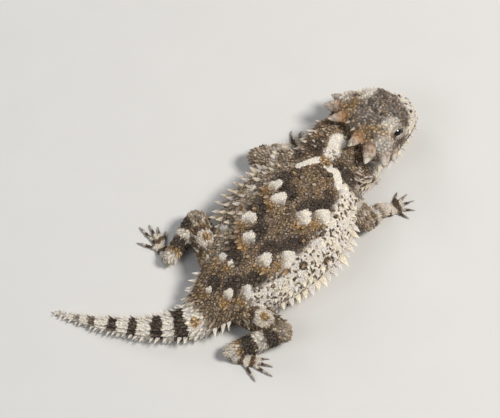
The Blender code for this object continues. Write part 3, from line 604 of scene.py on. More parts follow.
def places_of(points):
    """For each point: the part that it is on, and its place along and round that part."""
    points = np.asarray(points, float)
    t, turn = body_place(points)
    part = np.zeros(len(points), int)
    along = t.copy()
    local = to_head(points)
    radial = np.abs(local[:, 1]) < 12.5
    on_head = (local[:, 0] > 4.4) & radial & (local[:, 2] > -6) & (local[:, 2] < 10)
    part[on_head] = ON_HEAD
    along[on_head] = local[on_head, 0]
    turn[on_head] = np.arctan2(local[on_head, 2], local[on_head, 1])
    half, offset, over, high = off_centre(points, np.where(on_head, MIDDLE_ROW, t))
    reach = (np.abs(offset) / half) ** SIDE_CURVE + (np.abs(over) / high) ** BACK_CURVE
    outside = (reach ** (1 / SIDE_CURVE) - 1) * half
    best = np.where(on_head, -1.0, np.where(outside < 0.5, 0.1, 9.0))
    for number, (limb, joints) in enumerate(LIMBS.items()):
        for k in range(2):
            share, off, radius = on_segment(points, joints[k], joints[k + 1])
            distance = np.linalg.norm(off, axis=1) - radius
            closer = distance < best
            best[closer] = distance[closer]
            part[closer] = FIRST_LIMB + 3 * number + k
            along[closer] = share[closer]
            across, other = side_axes(segment_way(joints, k))
            turn[closer] = np.arctan2(off[closer] @ other, off[closer] @ across)
        way = paw_way(limb)
        past = points - np.array(joints[2][:3])
        reach = past @ way
        paw = (reach > -0.3) & (np.linalg.norm(past, axis=1) < 13.5) & (points[:, 2] < 2.4)
        paw &= (best > 0.25) | (reach > 0.8)
        part[paw] = FIRST_LIMB + 3 * number + 2
        along[paw] = reach[paw]
        turn[paw] = np.arctan2(past[paw, 2], past[paw] @ np.cross(UP, way))
        best[paw] = -2
    return part, along, turn


def lie_of(points, part, along):
    """The direction in which scales point, towards the tail or along a limb."""
    t = np.where(part == ON_BODY, along, MIDDLE_ROW)
    lie = -body_heading(t)
    lie[part == ON_HEAD] = -HEAD_AXES[:, 0]
    for number, (limb, joints) in enumerate(LIMBS.items()):
        for k in range(2):
            lie[part == FIRST_LIMB + 3 * number + k] = segment_way(joints, k)
        paw = part == FIRST_LIMB + 3 * number + 2
        start = np.array(joints[2][:3]) - paw_way(limb) * 1.5
        lie[paw] = unit((points[paw] - start) * (1, 1, 0))
    return lie


def atlas(part, along, turn):
    """A place on an unwrap of the skin: body, head and each limb have a field of their own."""
    around = np.mod(turn / (2 * math.pi) + 0.25, 1)
    u = 0.03 + 0.58 * along / BODY_LAST
    v = 0.03 + 0.93 * around
    head = part == ON_HEAD
    u = np.where(head, 0.65 + 0.31 * np.clip((along - 4) / 21, 0, 1), u)
    v = np.where(head, 0.03 + 0.42 * around, v)
    number = np.maximum(part - FIRST_LIMB, 0)
    column, row = number // 3, number % 3
    length = np.where(row == 2, 14.0, 1.0)
    share = np.clip(np.where(row == 2, along + 1, along) / length, 0, 1)
    limb = part >= FIRST_LIMB
    u = np.where(limb, 0.65 + 0.08 * column + 0.066 * share, u)
    v = np.where(limb, 0.5 + 0.16 * row + 0.14 * around, v)
    return columns(u, v)


def soft_step(value, low, high):
    share = np.clip((value - low) / (high - low), 0, 1)
    return share * share * (3 - 2 * share)


def blob(x, y, cx, cy, rx, ry, soft=0.3):
    """One inside an oval, fading to nothing across its edge."""
    reach = np.sqrt(((x - cx) / rx) ** 2 + ((y - cy) / ry) ** 2)
    return 1 - soft_step(reach, 1 - soft, 1 + soft)


def stripe(x, y, start, end, wide, soft=0.3):
    """One along a short line, fading to nothing past its half width."""
    a, b = np.array(start), np.array(end)
    step = b - a
    share = np.clip(((x - a[0]) * step[0] + (y - a[1]) * step[1]) / (step @ step), 0, 1)
    apart = np.hypot(x - a[0] - share * step[0], y - a[1] - share * step[1])
    return 1 - soft_step(apart, wide * (1 - soft), wide * (1 + soft))


# Pale lobes of the cross bands, from the nape to the rump: where each lies, and its size
LOBES = (
    (7.8, 5.35, 0.95), (4.9, 1.6, 1.0), (4.9, -6.8, 1.05), (8.6, -10.4, 1.1), (5.8, -17.4, 0.7),
    (3.4, 10.2, 0.7), (-4.1, 4.35, 1.0), (-8.6, 0.65, 1.0), (-10.9, -6.45, 1.0), (-6.9, -10.5, 1.15),
    (-9.6, 8.6, 0.6), (-11.2, -14.6, 0.6), (-16.6, 3.3, 0.8), (-16.9, 0.1, 0.6), (-23.5, -4.3, 0.9),
    (-20.2, -7.8, 1.0), (-25.6, 0.6, 0.6),
)
LOBE_WITHOUT_CONE = (1.9, -15.0, 0.75)
MIDLINE, CONE_BEHIND, CONE_OUTWARD, CONES_APART = -2.9, 2.6, 1.9, 3.2
# Cones between the lobes, and smaller ones in cross bands: forward of the band, to the side, and size
LONE_CONES = (
    (-0.8, -11.1, 0.9), (-5.6, -15.1, 0.9), (-0.3, -18.6, 0.75), (-0.8, 5.0, 0.85), (14.9, -7.6, 0.8),
    (14.2, 3.4, 0.8),
)
SMALL_CONES = (
    (6.8, 11.9, 0.64), (-4.6, 5.8, 0.58), (-1.2, 10.4, 0.6), (2.6, 13.6, 0.5), (-5.6, 1.6, 0.44),
    (1.9, 5.9, 0.46),
)
# Dark blotches in front of the nape's lobes: place, half sizes and strength
NAPE_DARK = (
    (23.3, -6.0, 2.2, 3.7, 1.0), (21.8, -9.6, 2.1, 2.4, 0.9), (24.3, 4.6, 2.8, 3.0, 0.8),
    (19.6, 7.8, 2.2, 2.2, 0.7),
)
# The nape's pale lobes as bent lines, from the midline outwards, with their half width
NAPE_PALE = (
    ((21.6, -1.9), (21.3, -4.9), (18.7, -8.0), 1.25),
    ((21.5, 1.5), (19.2, 3.1), (16.7, 4.4), 1.05),
    ((19.9, -8.8), (19.6, -9.6), (18.9, -10.6), 0.9),
)
# Dark bands of the tail: row number along the body and half length in rows
TAIL_BANDS = ((6.37, 0.27), (5.38, 0.23), (4.35, 0.2), (3.45, 0.19), (2.42, 0.17), (1.6, 0.15), (0.7, 0.18))


def back_marks(points, t):
    """Dark, pale and ochre shares of the trunk and neck, with painted sunlight on the right flank and painted
    shade on the left.
    """
    half, offset, _, _ = off_centre(points, t)
    v = np.abs(offset) * WIDEST / np.maximum(half, 1)
    rough = 0.5 * noise_at(points, 0.55, 1) + 0.35 * noise_at(points, 1.5, 2)
    x, y = points[:, 0] + 0.25 * rough, points[:, 1] + 0.25 * rough
    dark, pale, ochre, lobes = (np.zeros(len(x)) for _ in range(4))
    for cx, cy, size in (*LOBES, LOBE_WITHOUT_CONE):
        out = np.sign(cy - MIDLINE)
        ahead = x + 0.7 * rough
        dark = np.maximum(dark, blob(ahead, y, cx + 2.3 * size, cy - 0.3 * out, 3.4 * size, 3.0 * size, 0.2))
        beyond = blob(ahead, y, cx + 3.9 * size, cy + 0.9 * out, 2.7 * size, 2.5 * size, 0.3)
        dark = np.maximum(dark, 0.9 * beyond)
        lean = math.radians(24 + 16 * math.sin(7 * cx)) * out
        far, across = x - cx + 0.4, y - cy
        c, s = math.cos(lean), math.sin(lean)
        far, across = far * c + across * s, across * c - far * s
        across = across + 0.12 * far**2 * math.sin(5 * cy) / size
        shown = size * (0.8 if cx < -15 else 1)
        fade = soft_step(far + 0.6 * rough, -2.1 * shown, 1.0 * shown)
        wide = (1.95 + 0.2 * math.sin(3 * cx)) * shown
        lobe = blob(far, across, 0, 0, 2.6 * shown, wide, 0.07)
        tail = blob(x + rough, y + rough, cx - 2.5 * size, cy + 0.5 * out, 2.1 * size, 1.8 * size, 0.5)
        ochre = np.maximum(ochre, tail * (1 - 0.4 * lobe))
        pale = np.maximum(pale, lobe * (0.12 + 0.85 * fade))
        lobes = np.maximum(lobes, lobe)
    for cx, cy, size in LONE_CONES:
        apart = np.hypot(x - cx, y - cy) / size
        ring = soft_step(apart, 1.0, 1.3) * (1 - soft_step(apart, 1.9, 2.4))
        dark = np.maximum(dark, 0.9 * ring)
        ochre = np.maximum(ochre, 1 - soft_step(apart, 0.9, 1.3))
    for cx, cy, rx, ry, strength in NAPE_DARK:
        dark = np.maximum(dark, strength * blob(x + 0.6 * rough, y + 0.6 * rough, cx, cy, rx, ry, 0.25))
    for start, middle, end, wide in NAPE_PALE:
        for a, b, reach in ((start, middle, wide), (middle, end, wide * 0.9)):
            pale = np.maximum(pale, stripe(x, y, a, b, reach, 0.12))
    stripe_on_neck = stripe(x + 0.6 * rough, y + 0.9 * rough, (25.4, 0.2), (30.4, 1.5), 2.2, 0.2)
    stripe_on_neck *= 1 - 0.7 * soft_step(noise_at(points, 1.6, 24), 0.1, 0.3) * soft_step(28.5 - x, 0, 3)
    junction = blob(x + 0.5 * rough, y + 0.5 * rough, 22.3, -0.3, 1.0, 1.7, 0.25)
    pale = np.maximum(pale * (1 - junction), stripe_on_neck)
    ochre = np.maximum(ochre, 0.9 * blob(x, y + rough, 22.4, -0.2, 1.3, 2.0, 0.4))
    ochre = np.maximum(ochre, 0.08 + 0.27 * soft_step(noise_at(points, 0.42, 15), 0.1, 0.4))
    specks = noise_at(points, 1.5, 4) + 0.3 * noise_at(points, 0.6, 14)
    flank = soft_step(v + 0.8 * rough, 8.2, 11.0) * soft_step(t, 9.0, 9.8) * soft_step(17.0 - t, 0, 0.7)
    # The pale, specked flanks are the skin's own colour; the right flank is painted paler and the left kept
    # at three tenths with ochre over it: painted sunlight on the right, painted shade on the left.
    left = offset > 0
    flank = flank * np.where(left, 0.3, 1.0)
    ochre = np.maximum(ochre, 0.5 * left * soft_step(v + rough, 7.0, 9.0) * soft_step(rough, -0.1, 0.25))
    pale = np.maximum(pale, 0.92 * flank * soft_step(-specks, -0.3, -0.14))
    dark = np.maximum(dark * (1 - 0.8 * flank), 0.8 * flank * soft_step(specks, 0.26, 0.42))
    mottle = noise_at(points, 1.25, 6) + 0.4 * noise_at(points, 0.35, 16)
    dark = np.maximum(dark, 0.55 * soft_step(mottle, 0.16, 0.5) * (1 - flank))
    dark = np.where(pale > 0.75, 0, dark * (1 - 0.85 * lobes))
    return dark, pale, ochre * (1 - 0.8 * pale)


def tail_share(t):
    return soft_step(TAIL_FADE_FROM - t, 0, TAIL_FADE)


def tail_marks(points, t):
    """Dark, pale and ochre shares of the tail, and the ringed ochre spot on its base."""
    dark = np.zeros(len(t))
    edge = t + 0.07 * noise_at(points, 1.0, 8)
    for middle, half in TAIL_BANDS:
        dark = np.maximum(dark, 1 - soft_step(np.abs(edge - middle), half * 0.85, half * 1.15))
    rough = noise_at(points, 0.9, 21)
    base = soft_step(edge, 7.12, 7.42)
    spread = np.hypot(points[:, 0] + 34.2, points[:, 1] + 1.5) + 0.3 * rough
    ring = soft_step(spread, 1.2, 1.7) * (1 - soft_step(spread, 2.2, 2.8))
    dark = np.maximum(dark, base * 0.55 * soft_step(rough, 0.0, 0.3) * soft_step(spread, 2.4, 3.0))
    pale = np.maximum((1 - dark) * (0.95 - 0.6 * base), 0.85 * ring)
    ochre = np.maximum(1.2 * (1 - soft_step(spread, 1.1, 1.7)), 0.3 * base)
    on_tail = tail_share(t)
    return dark * on_tail, pale * on_tail * (1 - 0.9 * (spread < 1.3)), ochre * on_tail


def head_marks(local):
    """Dark, pale, ochre and cool shares of the head, with painted shade along the mouth's slit and in the
    nostrils.
    """
    forward, side, up = local.T
    out = np.abs(side)
    rough = noise_at(local, 0.7, 9)
    fine = noise_at(local, 1.8, 19)
    dark = 0.8 * soft_step(fine + 0.55 * rough, 0.12, 0.36)
    around_eye = np.hypot(forward - EYE_AT[0] - 1.2, up - EYE_AT[2] + 0.3) + 3 * np.maximum(5.5 - out, 0)
    dark = np.maximum(dark, 0.5 * (1 - soft_step(around_eye + fine, 2.4, 3.6)))
    dark = np.maximum(dark, 0.6 * blob(forward, out, 17.6, 5.2, 1.8, 1.8, 0.5) * (fine > -0.25))
    pale = soft_step(-up + 0.6 * fine, -0.2, 1.3) * 0.8
    pale = np.maximum(pale, soft_step(forward + 0.5 * fine, 20.3, 21.6) * 0.85)
    muzzle = soft_step(3.4 - up + 0.5 * fine, 0, 0.9) * soft_step(forward, 16.2, 17.6)
    pale = np.maximum(pale, 0.9 * muzzle)
    pale = np.maximum(pale, 0.55 * blob(forward, out, 9.0, 9.4, 3.2, 2.2, 0.5))
    cool = np.maximum(blob(forward, out, BROW_AT - 0.4, BROW_SIDE, 2.8, 2.4, 0.5), 0.5 * (up > 3))
    brow = blob(forward + fine, out, BROW_AT - 0.6, BROW_SIDE, 3.0, 1.9, 0.4)
    pale = np.maximum(pale, 0.75 * brow * (up > 4))
    ochre = 0.85 * blob(forward + fine, out, 11.0, 7.4, 2.6, 1.9, 0.5)
    ochre = np.maximum(ochre, 0.7 * blob(forward, out + fine, 6.4, 4.8, 2.2, 3.2, 0.5))
    ochre = np.maximum(ochre, 0.8 * stripe(forward + fine, out, (8.4, 4.4), (12.8, 6.6), 1.0, 0.7))
    ochre = np.maximum(ochre, 0.4 * soft_step(noise_at(local, 0.6, 20), 0.15, 0.4))
    # The dark line along the mouth and the dark nostrils are painted shade in the slit between the lips and
    # in the nostril pits; the specks on the snout are its own marks.
    mouth = 0.8 * bump_near(up - lip_height(forward), 0.3) * (forward > MOUTH_FROM) * (out > 1)
    speck = soft_step(noise_at(local, 1.15, 25), 0.3, 0.42) * soft_step(forward, 15.5, 17.5)
    bare = np.maximum(np.maximum(mouth, 0.9 * speck), 1 - soft_step(from_nostril(local), 0.5, 0.75))
    pale = pale * (1 - bare)
    return np.maximum(dark * (1 - 0.6 * pale), bare), pale, ochre, cool


# Ringed ochre spots of the thighs: where each lies
THIGH_SPOTS = ((-14.0, 11.3), (-22.0, -15.2))


def limb_marks(points, name, along):
    """Blotches and pale patches down a limb, and the thigh's ochre spot in its pale ring."""
    rough = noise_at(points, 0.75, 10)
    fine = noise_at(points, 1.5, 17)
    ripple = along + 0.05 * rough + 0.04 * fine
    dark = 0.8 * soft_step(rough + 0.4 * fine, 0.12, 0.38)
    pale = 0.6 * soft_step(-rough + 0.4 * fine, 0.2, 0.42)
    ochre = 0.3 + 0.4 * soft_step(noise_at(points, 0.5, 18), 0.1, 0.4)
    if name.startswith("leg") and name.endswith("upper"):
        for x, y in THIGH_SPOTS:
            apart = np.hypot(points[:, 0] - x, points[:, 1] - y) + 2 * (points[:, 2] < 4.5) + 0.5 * rough
            ring = 1 - soft_step(apart, 2.3, 2.9)
            pale = np.maximum(pale * (1 - ring), 0.68 * ring * soft_step(apart, 1.0, 1.5))
            ochre = np.maximum(ochre, np.maximum(0.6 * ring, 1.2 * (1 - soft_step(apart, 1.3, 2.4))))
            rim = soft_step(apart, 2.6, 3.0) * (1 - soft_step(apart, 3.6, 4.4))
            dark = np.maximum(dark * (1 - ring), 0.75 * rim)
        pale = np.maximum(pale, 0.3 * soft_step(ripple, 0.9, 1.0))
    elif name.endswith("upper"):
        dark = np.maximum(0.75 * dark, 0.8 * blob(ripple, 0, 0.45, 0, 0.1, 1, 0.4))
        ochre, pale = np.maximum(ochre, 0.4), np.maximum(pale, 0.22)
        pale = np.maximum(pale, 0.7 * blob(ripple, 0, 0.62, 0, 0.07, 1, 0.5))
    elif name.endswith("lower"):
        for place in (0.4, 0.95):
            pale = np.maximum(pale, 0.8 * blob(ripple, 0, place, 0, 0.1, 1, 0.45))
        ochre = np.maximum(ochre, blob(ripple, 0, 0.82, 0, 0.09, 1, 0.5))
        strength = 1.0
        if name.startswith("arm"):
            strength = 0.45
            pale = np.maximum(pale, 0.6 * soft_step(along, 0.25, 0.45))
        for place in (0.18, 0.62):
            band = strength * blob(along + 0.03 * rough, 0, place, 0, 0.11, 1, 0.25)
            dark, pale, ochre = np.maximum(dark, band), pale * (1 - band), ochre * (1 - band)
    else:
        wave = np.sin(along * 2.1 + 1.6 * rough)
        dark = 0.85 * soft_step(wave, 0.35, 0.7)
        pale = 0.75 * soft_step(-wave, -0.3, 0.3)
    return dark, pale, ochre


def markings(points, part, along):
    """Shares of dark, pale, ochre and cool colour at each point of the skin."""
    count = len(points)
    dark, pale, ochre, cool = (np.zeros(count) for _ in range(4))
    body = part == ON_BODY
    if body.any():
        place = points[body], along[body]
        off_tail = 1 - tail_share(along[body])
        dark[body], pale[body], ochre[body] = (
            back * off_tail + tail for back, tail in zip(back_marks(*place), tail_marks(*place))
        )
    head = part == ON_HEAD
    if head.any():
        dark[head], pale[head], ochre[head], cool[head] = head_marks(to_head(points[head]))
    for number, name in enumerate(PARTS[FIRST_LIMB:]):
        on = part == FIRST_LIMB + number
        if on.any():
            dark[on], pale[on], ochre[on] = limb_marks(points[on], name, along[on])
    belly = soft_step(2.6 - points[:, 2], 0, 1.8) * (part == ON_BODY)
    pale = np.maximum(pale, belly * 0.8)
    dark = dark * (1 - pale * 0.85) * (1 - 0.5 * belly)
    ochre = ochre * (1 - 0.45 * pale)
    return columns(dark, pale, ochre, cool).clip(0, 1)


def write_marks(mesh, marks, grain, tint):
    """Stores the markings, each scale's tone and tip, and its tint and height, for the materials.
    The columns are dark, pale, ochre and cool; tone and tip; tint and height."""
    ones = np.ones((len(marks), 1))
    layers = {
        "marks": np.hstack([marks[:, :3], ones]),
        "grain": np.hstack([grain, marks[:, 3:4], ones]),
        "tint": np.hstack([tint, ones, ones]),
    }
    for name, values in layers.items():
        layer = mesh.color_attributes.new(name, "FLOAT_COLOR", "POINT")
        layer.data.foreach_set("color", values.astype(np.float32).ravel())


def pointed_faces(sides, rings):
    """Faces of a form of stacked rings that ends in one point."""
    faces = [tuple(range(sides))[::-1]]
    for i in range(rings):
        for k in range(sides):
            n = (k + 1) % sides
            low, high = (i * sides + k, i * sides + n), ((i + 1) * sides + n, (i + 1) * sides + k)
            faces.append(low + (high if i < rings - 1 else (rings * sides,)))
    return faces


def pebble(sides, rings, uneven=0.0):
    """A low rounded scale: rings of radius, height and tip share, then its top."""
    points, tips = [], []
    wobble = [1 + uneven * math.sin(2.4 * k + 0.9) for k in range(sides)]
    for radius, height, tip in rings[:-1]:
        for k in range(sides):
            a = 2 * math.pi * k / sides
            reach = radius * wobble[k]
            points.append((reach * math.cos(a), reach * math.sin(a), height * (1 + 0.5 * (wobble[k] - 1))))
            tips.append(tip)
    _, height, tip = rings[-1]
    points.append((0, 0, height))
    tips.append(tip)
    return np.array(points), pointed_faces(sides, len(rings) - 1), np.array(tips)


def keeled():
    """A pointed scale with a ridge down its middle. Its tip points along +Y."""
    outline = (
        (0, -0.95), (0.62, -0.68), (0.92, -0.05), (0.6, 0.6), (0, 1.15), (-0.6, 0.6),
        (-0.92, -0.05), (-0.62, -0.68),
    )
    points = [(x, y, -0.4) for x, y in outline]
    points += [(x * 0.94, y * 0.97, 0.12 + 0.14 * (y + 1)) for x, y in outline]
    points += [(0, -0.5, 0.42), (0, 0.25, 0.85), (0, 1.35, 1.3)]
    tips = [0.0] * 8 + [max(0.0, (y + 0.2) / 2.2) for _, y in outline] + [0.1, 0.5, 1.0]
    faces = [tuple(range(8))[::-1]]
    faces += [(k, (k + 1) % 8, 8 + (k + 1) % 8, 8 + k) for k in range(8)]
    faces += [(8, 9, 16), (9, 10, 17, 16), (10, 11, 18, 17), (11, 12, 18)]
    faces += [(8, 16, 15), (15, 16, 17, 14), (14, 17, 18, 13), (13, 18, 12)]
    return np.array(points, float), faces, np.array(tips)


def cone_form(sides, stations, bend=0.0, ridge=0.0):
    """A tapered spine along +Z that bends towards +Y, with ridges down its length."""
    points, tips = [], []
    for height, radius in stations[:-1]:
        for k in range(sides):
            a = 2 * math.pi * k / sides
            r = radius * (1 + ridge * (1 if k % 2 else -1))
            points.append((r * math.cos(a), r * math.sin(a) + bend * max(height, 0) ** 2, height))
            tips.append(max(0.0, height))
    height = stations[-1][0]
    points.append((0, bend * height**2, height))
    tips.append(1.0)
    return np.array(points), pointed_faces(sides, len(stations) - 1), np.array(tips)


GRANULE = pebble(7, ((1.08, -0.5, 0), (0.98, 0.16, 0), (0.5, 0.52, 0.25), (0, 0.66, 0.4)), 0.16)
PLATE = pebble(6, ((1.16, -0.5, 0), (1.12, 0.04, 0), (0.5, 0.4, 0.15), (0, 0.62, 0.4)), 0.24)
KEELED = keeled()
TOOTH = cone_form(8, (
    (-0.3, 1.0), (0.0, 1.0), (0.2, 0.92), (0.42, 0.72), (0.64, 0.47), (0.84, 0.22), (1.0, 0),
), 0.1, 0.05)
SHIELD = pebble(6, ((1.1, -0.5, 0), (1.06, 0.12, 0), (0.5, 0.7, 0.25), (0, 1.0, 0.7)), 0.24)
BEAD = pebble(8, ((1.0, -0.2, 0), (0.98, 0.35, 0), (0.6, 0.8, 0.15), (0, 1.0, 0.4)))
SPINE = cone_form(8, (
    (-0.35, 1.05), (0.0, 1.0), (0.18, 0.86), (0.4, 0.62), (0.65, 0.36), (0.87, 0.15), (1.0, 0),
), 0.12, 0.07)


# Half width of each scale's own patch on the unwrap
UNWRAP_PATCH = 0.0015


def stamp(name, form, roots, across, other, out, marks, tone, tint, uv):
    """One mesh of many copies of a form. The three directions hold each copy's sizes."""
    points, faces, tips = form
    count, size = len(roots), len(points)
    x, y, z = points[:, 0][None, :, None], points[:, 1][None, :, None], points[:, 2][None, :, None]
    world = roots[:, None] + across[:, None] * x + other[:, None] * y + out[:, None] * z
    world = world.reshape(-1, 3)
    world[:, 2] = np.maximum(world[:, 2], 0.02)
    loops = np.concatenate([np.array(face) for face in faces])
    starts = np.concatenate([[0], np.cumsum([len(face) for face in faces])[:-1]])
    every = (loops[None] + size * np.arange(count)[:, None]).ravel()
    mesh = bpy.data.meshes.new(name)
    mesh.vertices.add(count * size)
    mesh.vertices.foreach_set("co", to_metres(world).astype(np.float32).ravel())
    mesh.loops.add(len(every))
    mesh.loops.foreach_set("vertex_index", every.astype(np.int32))
    mesh.polygons.add(len(faces) * count)
    mesh.polygons.foreach_set(
        "loop_start", (starts[None] + len(loops) * np.arange(count)[:, None]).ravel().astype(np.int32)
    )
    mesh.update(calc_edges=True)
    mesh.validate()
    patch = points[:, :2] / np.abs(points[:, :2]).max() * UNWRAP_PATCH
    layer = mesh.uv_layers.new(name="OFBake")
    spots = (uv[:, None] + patch[None]).reshape(-1, 2)[every]
    layer.data.foreach_set("uv", spots.astype(np.float32).ravel())
    grain = columns(np.repeat(tone, size), np.tile(tips, count))
    # Each point's height over the scale's root, which the materials use to paint shade low between the
    # scales.
    height = np.clip(points[:, 2] / (0.45 if points[:, 2].max() < 0.95 else 0.75), 0, 1)
    tints = columns(np.repeat(tint, size), np.tile(height, count))
    write_marks(mesh, np.repeat(marks, size, axis=0), grain, tints)
    return mesh


# Sockets by number: place on the object, and a colour Mix node's share, two colours and result
OBJECT_PLACE, MIX_SHARE, MIX_FIRST, MIX_SECOND, MIX_RESULT = 3, 0, 6, 7, 2


class Link:
    """A socket in a material. Sums on it add Math nodes, and add() makes any other node."""

    def __init__(self, tree, socket=None):
        self.tree, self.socket = tree, socket

    def add(self, kind, settings=None, inputs=None, output=0):
        node = self.tree.nodes.new(kind)
        for key, value in (settings or {}).items():
            if key == "stops":
                ramp = node.color_ramp
                while len(ramp.elements) < len(value):
                    ramp.elements.new(0.5)
                for element, (place, colour) in zip(ramp.elements, value):
                    element.position = place
                    element.color = colour
            else:
                setattr(node, key, value)
        for key, value in (inputs or {}).items():
            if isinstance(value, Link):
                self.tree.links.new(value.socket, node.inputs[key])
            else:
                node.inputs[key].default_value = value
        return Link(self.tree, node.outputs[output])

    def maths(self, operation, first, second):
        return self.add("ShaderNodeMath", {"operation": operation}, {0: first, 1: second})

    def __add__(self, other):
        return self.maths("ADD", self, other)

    __radd__ = __add__

    def __sub__(self, other):
        return self.maths("SUBTRACT", self, other)

    def __rsub__(self, other):
        return self.maths("SUBTRACT", other, self)

    def __mul__(self, other):
        return self.maths("MULTIPLY", self, other)

    __rmul__ = __mul__

    def __pow__(self, other):
        return self.maths("POWER", self, other)

    def clamped(self, low=0.0, high=1.0):
        return self.add("ShaderNodeClamp", None, {"Value": self, "Min": low, "Max": high})

    def stepped(self, low, high):
        settings = {"interpolation_type": "SMOOTHSTEP"}
        return self.add("ShaderNodeMapRange", settings, {"Value": self, "From Min": low, "From Max": high})

    def mix(self, first, second, kind="MIX"):
        """A colour between two, with this value as the share of the second."""
        settings = {"data_type": "RGBA", "blend_type": kind, "clamp_factor": True}
        inputs = {MIX_SHARE: self, MIX_FIRST: rgba(first), MIX_SECOND: rgba(second)}
        return self.add("ShaderNodeMix", settings, inputs, MIX_RESULT)


def new_material(name):
    """A material, its Principled shader, the link that its nodes start from, and the place on the object."""
    material = bpy.data.materials.new(name)
    material.use_nodes = True
    shader = material.node_tree.nodes["Principled BSDF"]
    start = Link(material.node_tree)
    return material, shader, start, start.add("ShaderNodeTexCoord", None, None, OBJECT_PLACE)


def stored(start, layer, *channels):
    """Channels of a colour layer of the mesh, as values."""
    colour = start.add("ShaderNodeVertexColor", {"layer_name": layer})
    return [start.add("ShaderNodeSeparateColor", None, {0: colour}, k) for k in channels]


def wire_bump(shader, relief, strength, distance):
    inputs = {"Strength": strength, "Distance": distance, "Height": relief}
    wire(shader, "Normal", relief.add("ShaderNodeBump", None, inputs))


def wire(shader, name, value):
    if isinstance(value, Link):
        value.tree.links.new(value.socket, shader.inputs[name])
    else:
        shader.inputs[name].default_value = value


def rgba(colour):
    return colour if isinstance(colour, Link) else (*colour, 1.0)


def noise_value(start, place, scale, detail=4.0, rough=0.6):
    inputs = {"Vector": place, "Scale": scale, "Detail": detail, "Roughness": rough}
    return start.add("ShaderNodeTexNoise", None, inputs)


def scaly_material(name, looks, skin=False, grit=0.5):
    """The skin's and the coat's finish: ground colour, markings, each scale's own tint, fine grain, and
    painted shade low between the scales.
    """
    material, shader, start, place = new_material(name)
    dark, pale, ochre = stored(start, "marks", 0, 1, 2)
    tone, tip, cool = stored(start, "grain", 0, 1, 2)
    hue, height = stored(start, "tint", 0, 1)
    broad = noise_value(start, place, 190.0, 3.0).stepped(0.35, 0.65)
    fine = noise_value(start, place, 2600.0, 4.0, 0.7)
    colour = broad.mix(looks.ground, looks.ground_warm)
    colour = (hue.stepped(0.62, 0.95) * 0.4).mix(colour, looks.olive)
    colour = ((1 - hue).stepped(0.6, 0.95) * 0.6).mix(colour, looks.cool)
    colour = (cool * 0.8).mix(colour, looks.cool)
    colour = (ochre * (0.75 + hue * 0.25)).mix(colour, looks.ochre)
    colour = pale.mix(colour, (hue.stepped(0.3, 0.8)).mix(looks.pale_cool, looks.pale))
    dirt = (fine.stepped(0.3, 0.7) * 0.3 + 0.7) * dark
    colour = dirt.mix(colour, looks.dark)
    colour = (tip ** 1.5 * (1 - dark * 0.8) * (0.6 - pale * 0.5)).mix(colour, looks.tip)
    spread = 1 - pale * 0.8
    shade = 1 + (tone * 2.0 - 1.0) * spread + (fine - 0.5) * grit
    # Painted shade: each scale darkens towards its root, where it sinks between its neighbours; pale scales
    # darken less.
    hollow = (1 - height) * 0.55 * (1 - pale * 0.6)
    # On the skin between the scales the colour drops to 0.4 of itself, to 0.75 where pale: painted shade in
    # the gaps between the scales.
    shade = shade * (1 - hollow) if not skin else shade * (pale * 0.35 + 0.4)
    colour = start.add(
        "ShaderNodeVectorMath", {"operation": "SCALE"}, {0: colour, "Scale": shade.clamped(0.12, 2.0)}
    )
    wire(shader, "Base Color", colour)
    wire(shader, "Roughness", (0.56 + fine * 0.3).clamped(0.3, 0.95))
    shader.inputs["Specular IOR Level"].default_value = 0.35
    cells = start.add(
        "ShaderNodeTexVoronoi", {"feature": "F1"}, {"Vector": place, "Scale": 3600.0, "Randomness": 0.9}
    )
    wire_bump(shader, cells * 0.6 + fine * 0.8, 0.35, 0.00012)
    return material


def horn_material(looks):
    """Dull keratin: orange at the root, grey-cream towards the tip, with fine grooves."""
    material, shader, start, place = new_material("horn_keratin")
    tip, warm = stored(start, "grain", 1, 2)
    streak = noise_value(start, place, 900.0, 5.0, 0.7)
    patch = noise_value(start, place, 420.0, 3.0)
    fine = noise_value(start, place, 3200.0, 3.0)
    stain = (warm * (1.3 - tip * 1.1) + (patch - 0.5) * 1.6 * warm).clamped()
    colour = stain.mix(looks.horn_grey, looks.horn_orange)
    colour = (tip + (patch - 0.5) * 0.9).stepped(0.3, 1.0).mix(colour, looks.horn_tip)
    # Dark streaks along the horn.
    colour = (streak.stepped(0.44, 0.62) * 0.7).mix(colour, looks.horn_dark)
    # Darker towards the root, where the horn leaves the skin.
    colour = ((1 - tip).stepped(0.78, 0.95) * 0.5).mix(colour, looks.horn_dark)
    wire(shader, "Base Color", colour)
    wire(shader, "Roughness", (0.6 + fine * 0.3).clamped(0.5, 0.95))
    shader.inputs["Specular IOR Level"].default_value = 0.3
    wire_bump(shader, fine + streak, 0.8, 0.0002)
    return material


def eye_material(looks):
    """A wet dark eye: brown iris flecked with gold round a black pupil."""
    material, shader, start, place = new_material("eye_wet")
    ring, = stored(start, "grain", 1)
    fleck = noise_value(start, place, 2400.0, 5.0, 0.7)
    colour = fleck.stepped(0.45, 0.7).mix(looks.iris, looks.iris_fleck)
    colour = ring.stepped(0.78, 0.86).mix(colour, looks.pupil)
    colour = (1 - ring).stepped(0.45, 0.6).mix(colour, looks.pupil)
    wire(shader, "Base Color", colour)
    shader.inputs["Roughness"].default_value = 0.06
    shader.inputs["Coat Weight"].default_value = 0.6
    shader.inputs["Coat Roughness"].default_value = 0.03
    wire_bump(shader, fleck, 0.08, 0.00005)
    return material


def floor_material(looks):
    material, shader, start, place = new_material("studio_floor")
    fine = noise_value(start, place, 60.0, 6.0)
    wire(shader, "Base Color", (fine * 0.1).mix(looks.floor, (1, 1, 1)))
    shader.inputs["Roughness"].default_value = 0.85
    return material


class Surface:
    """The finished skin, kept for the coat, and the single spines that later scales keep clear of."""

    points = normals = triangles = None
    spines = {}


def keep_surface(mesh):
    mesh.calc_loop_triangles()
    triangles = np.empty(len(mesh.loop_triangles) * 3, np.int32)
    mesh.loop_triangles.foreach_get("vertices", triangles)
    Surface.triangles = triangles.reshape(-1, 3)
    Surface.points = points_of(mesh)
    Surface.normals = points_of(mesh, "normal")


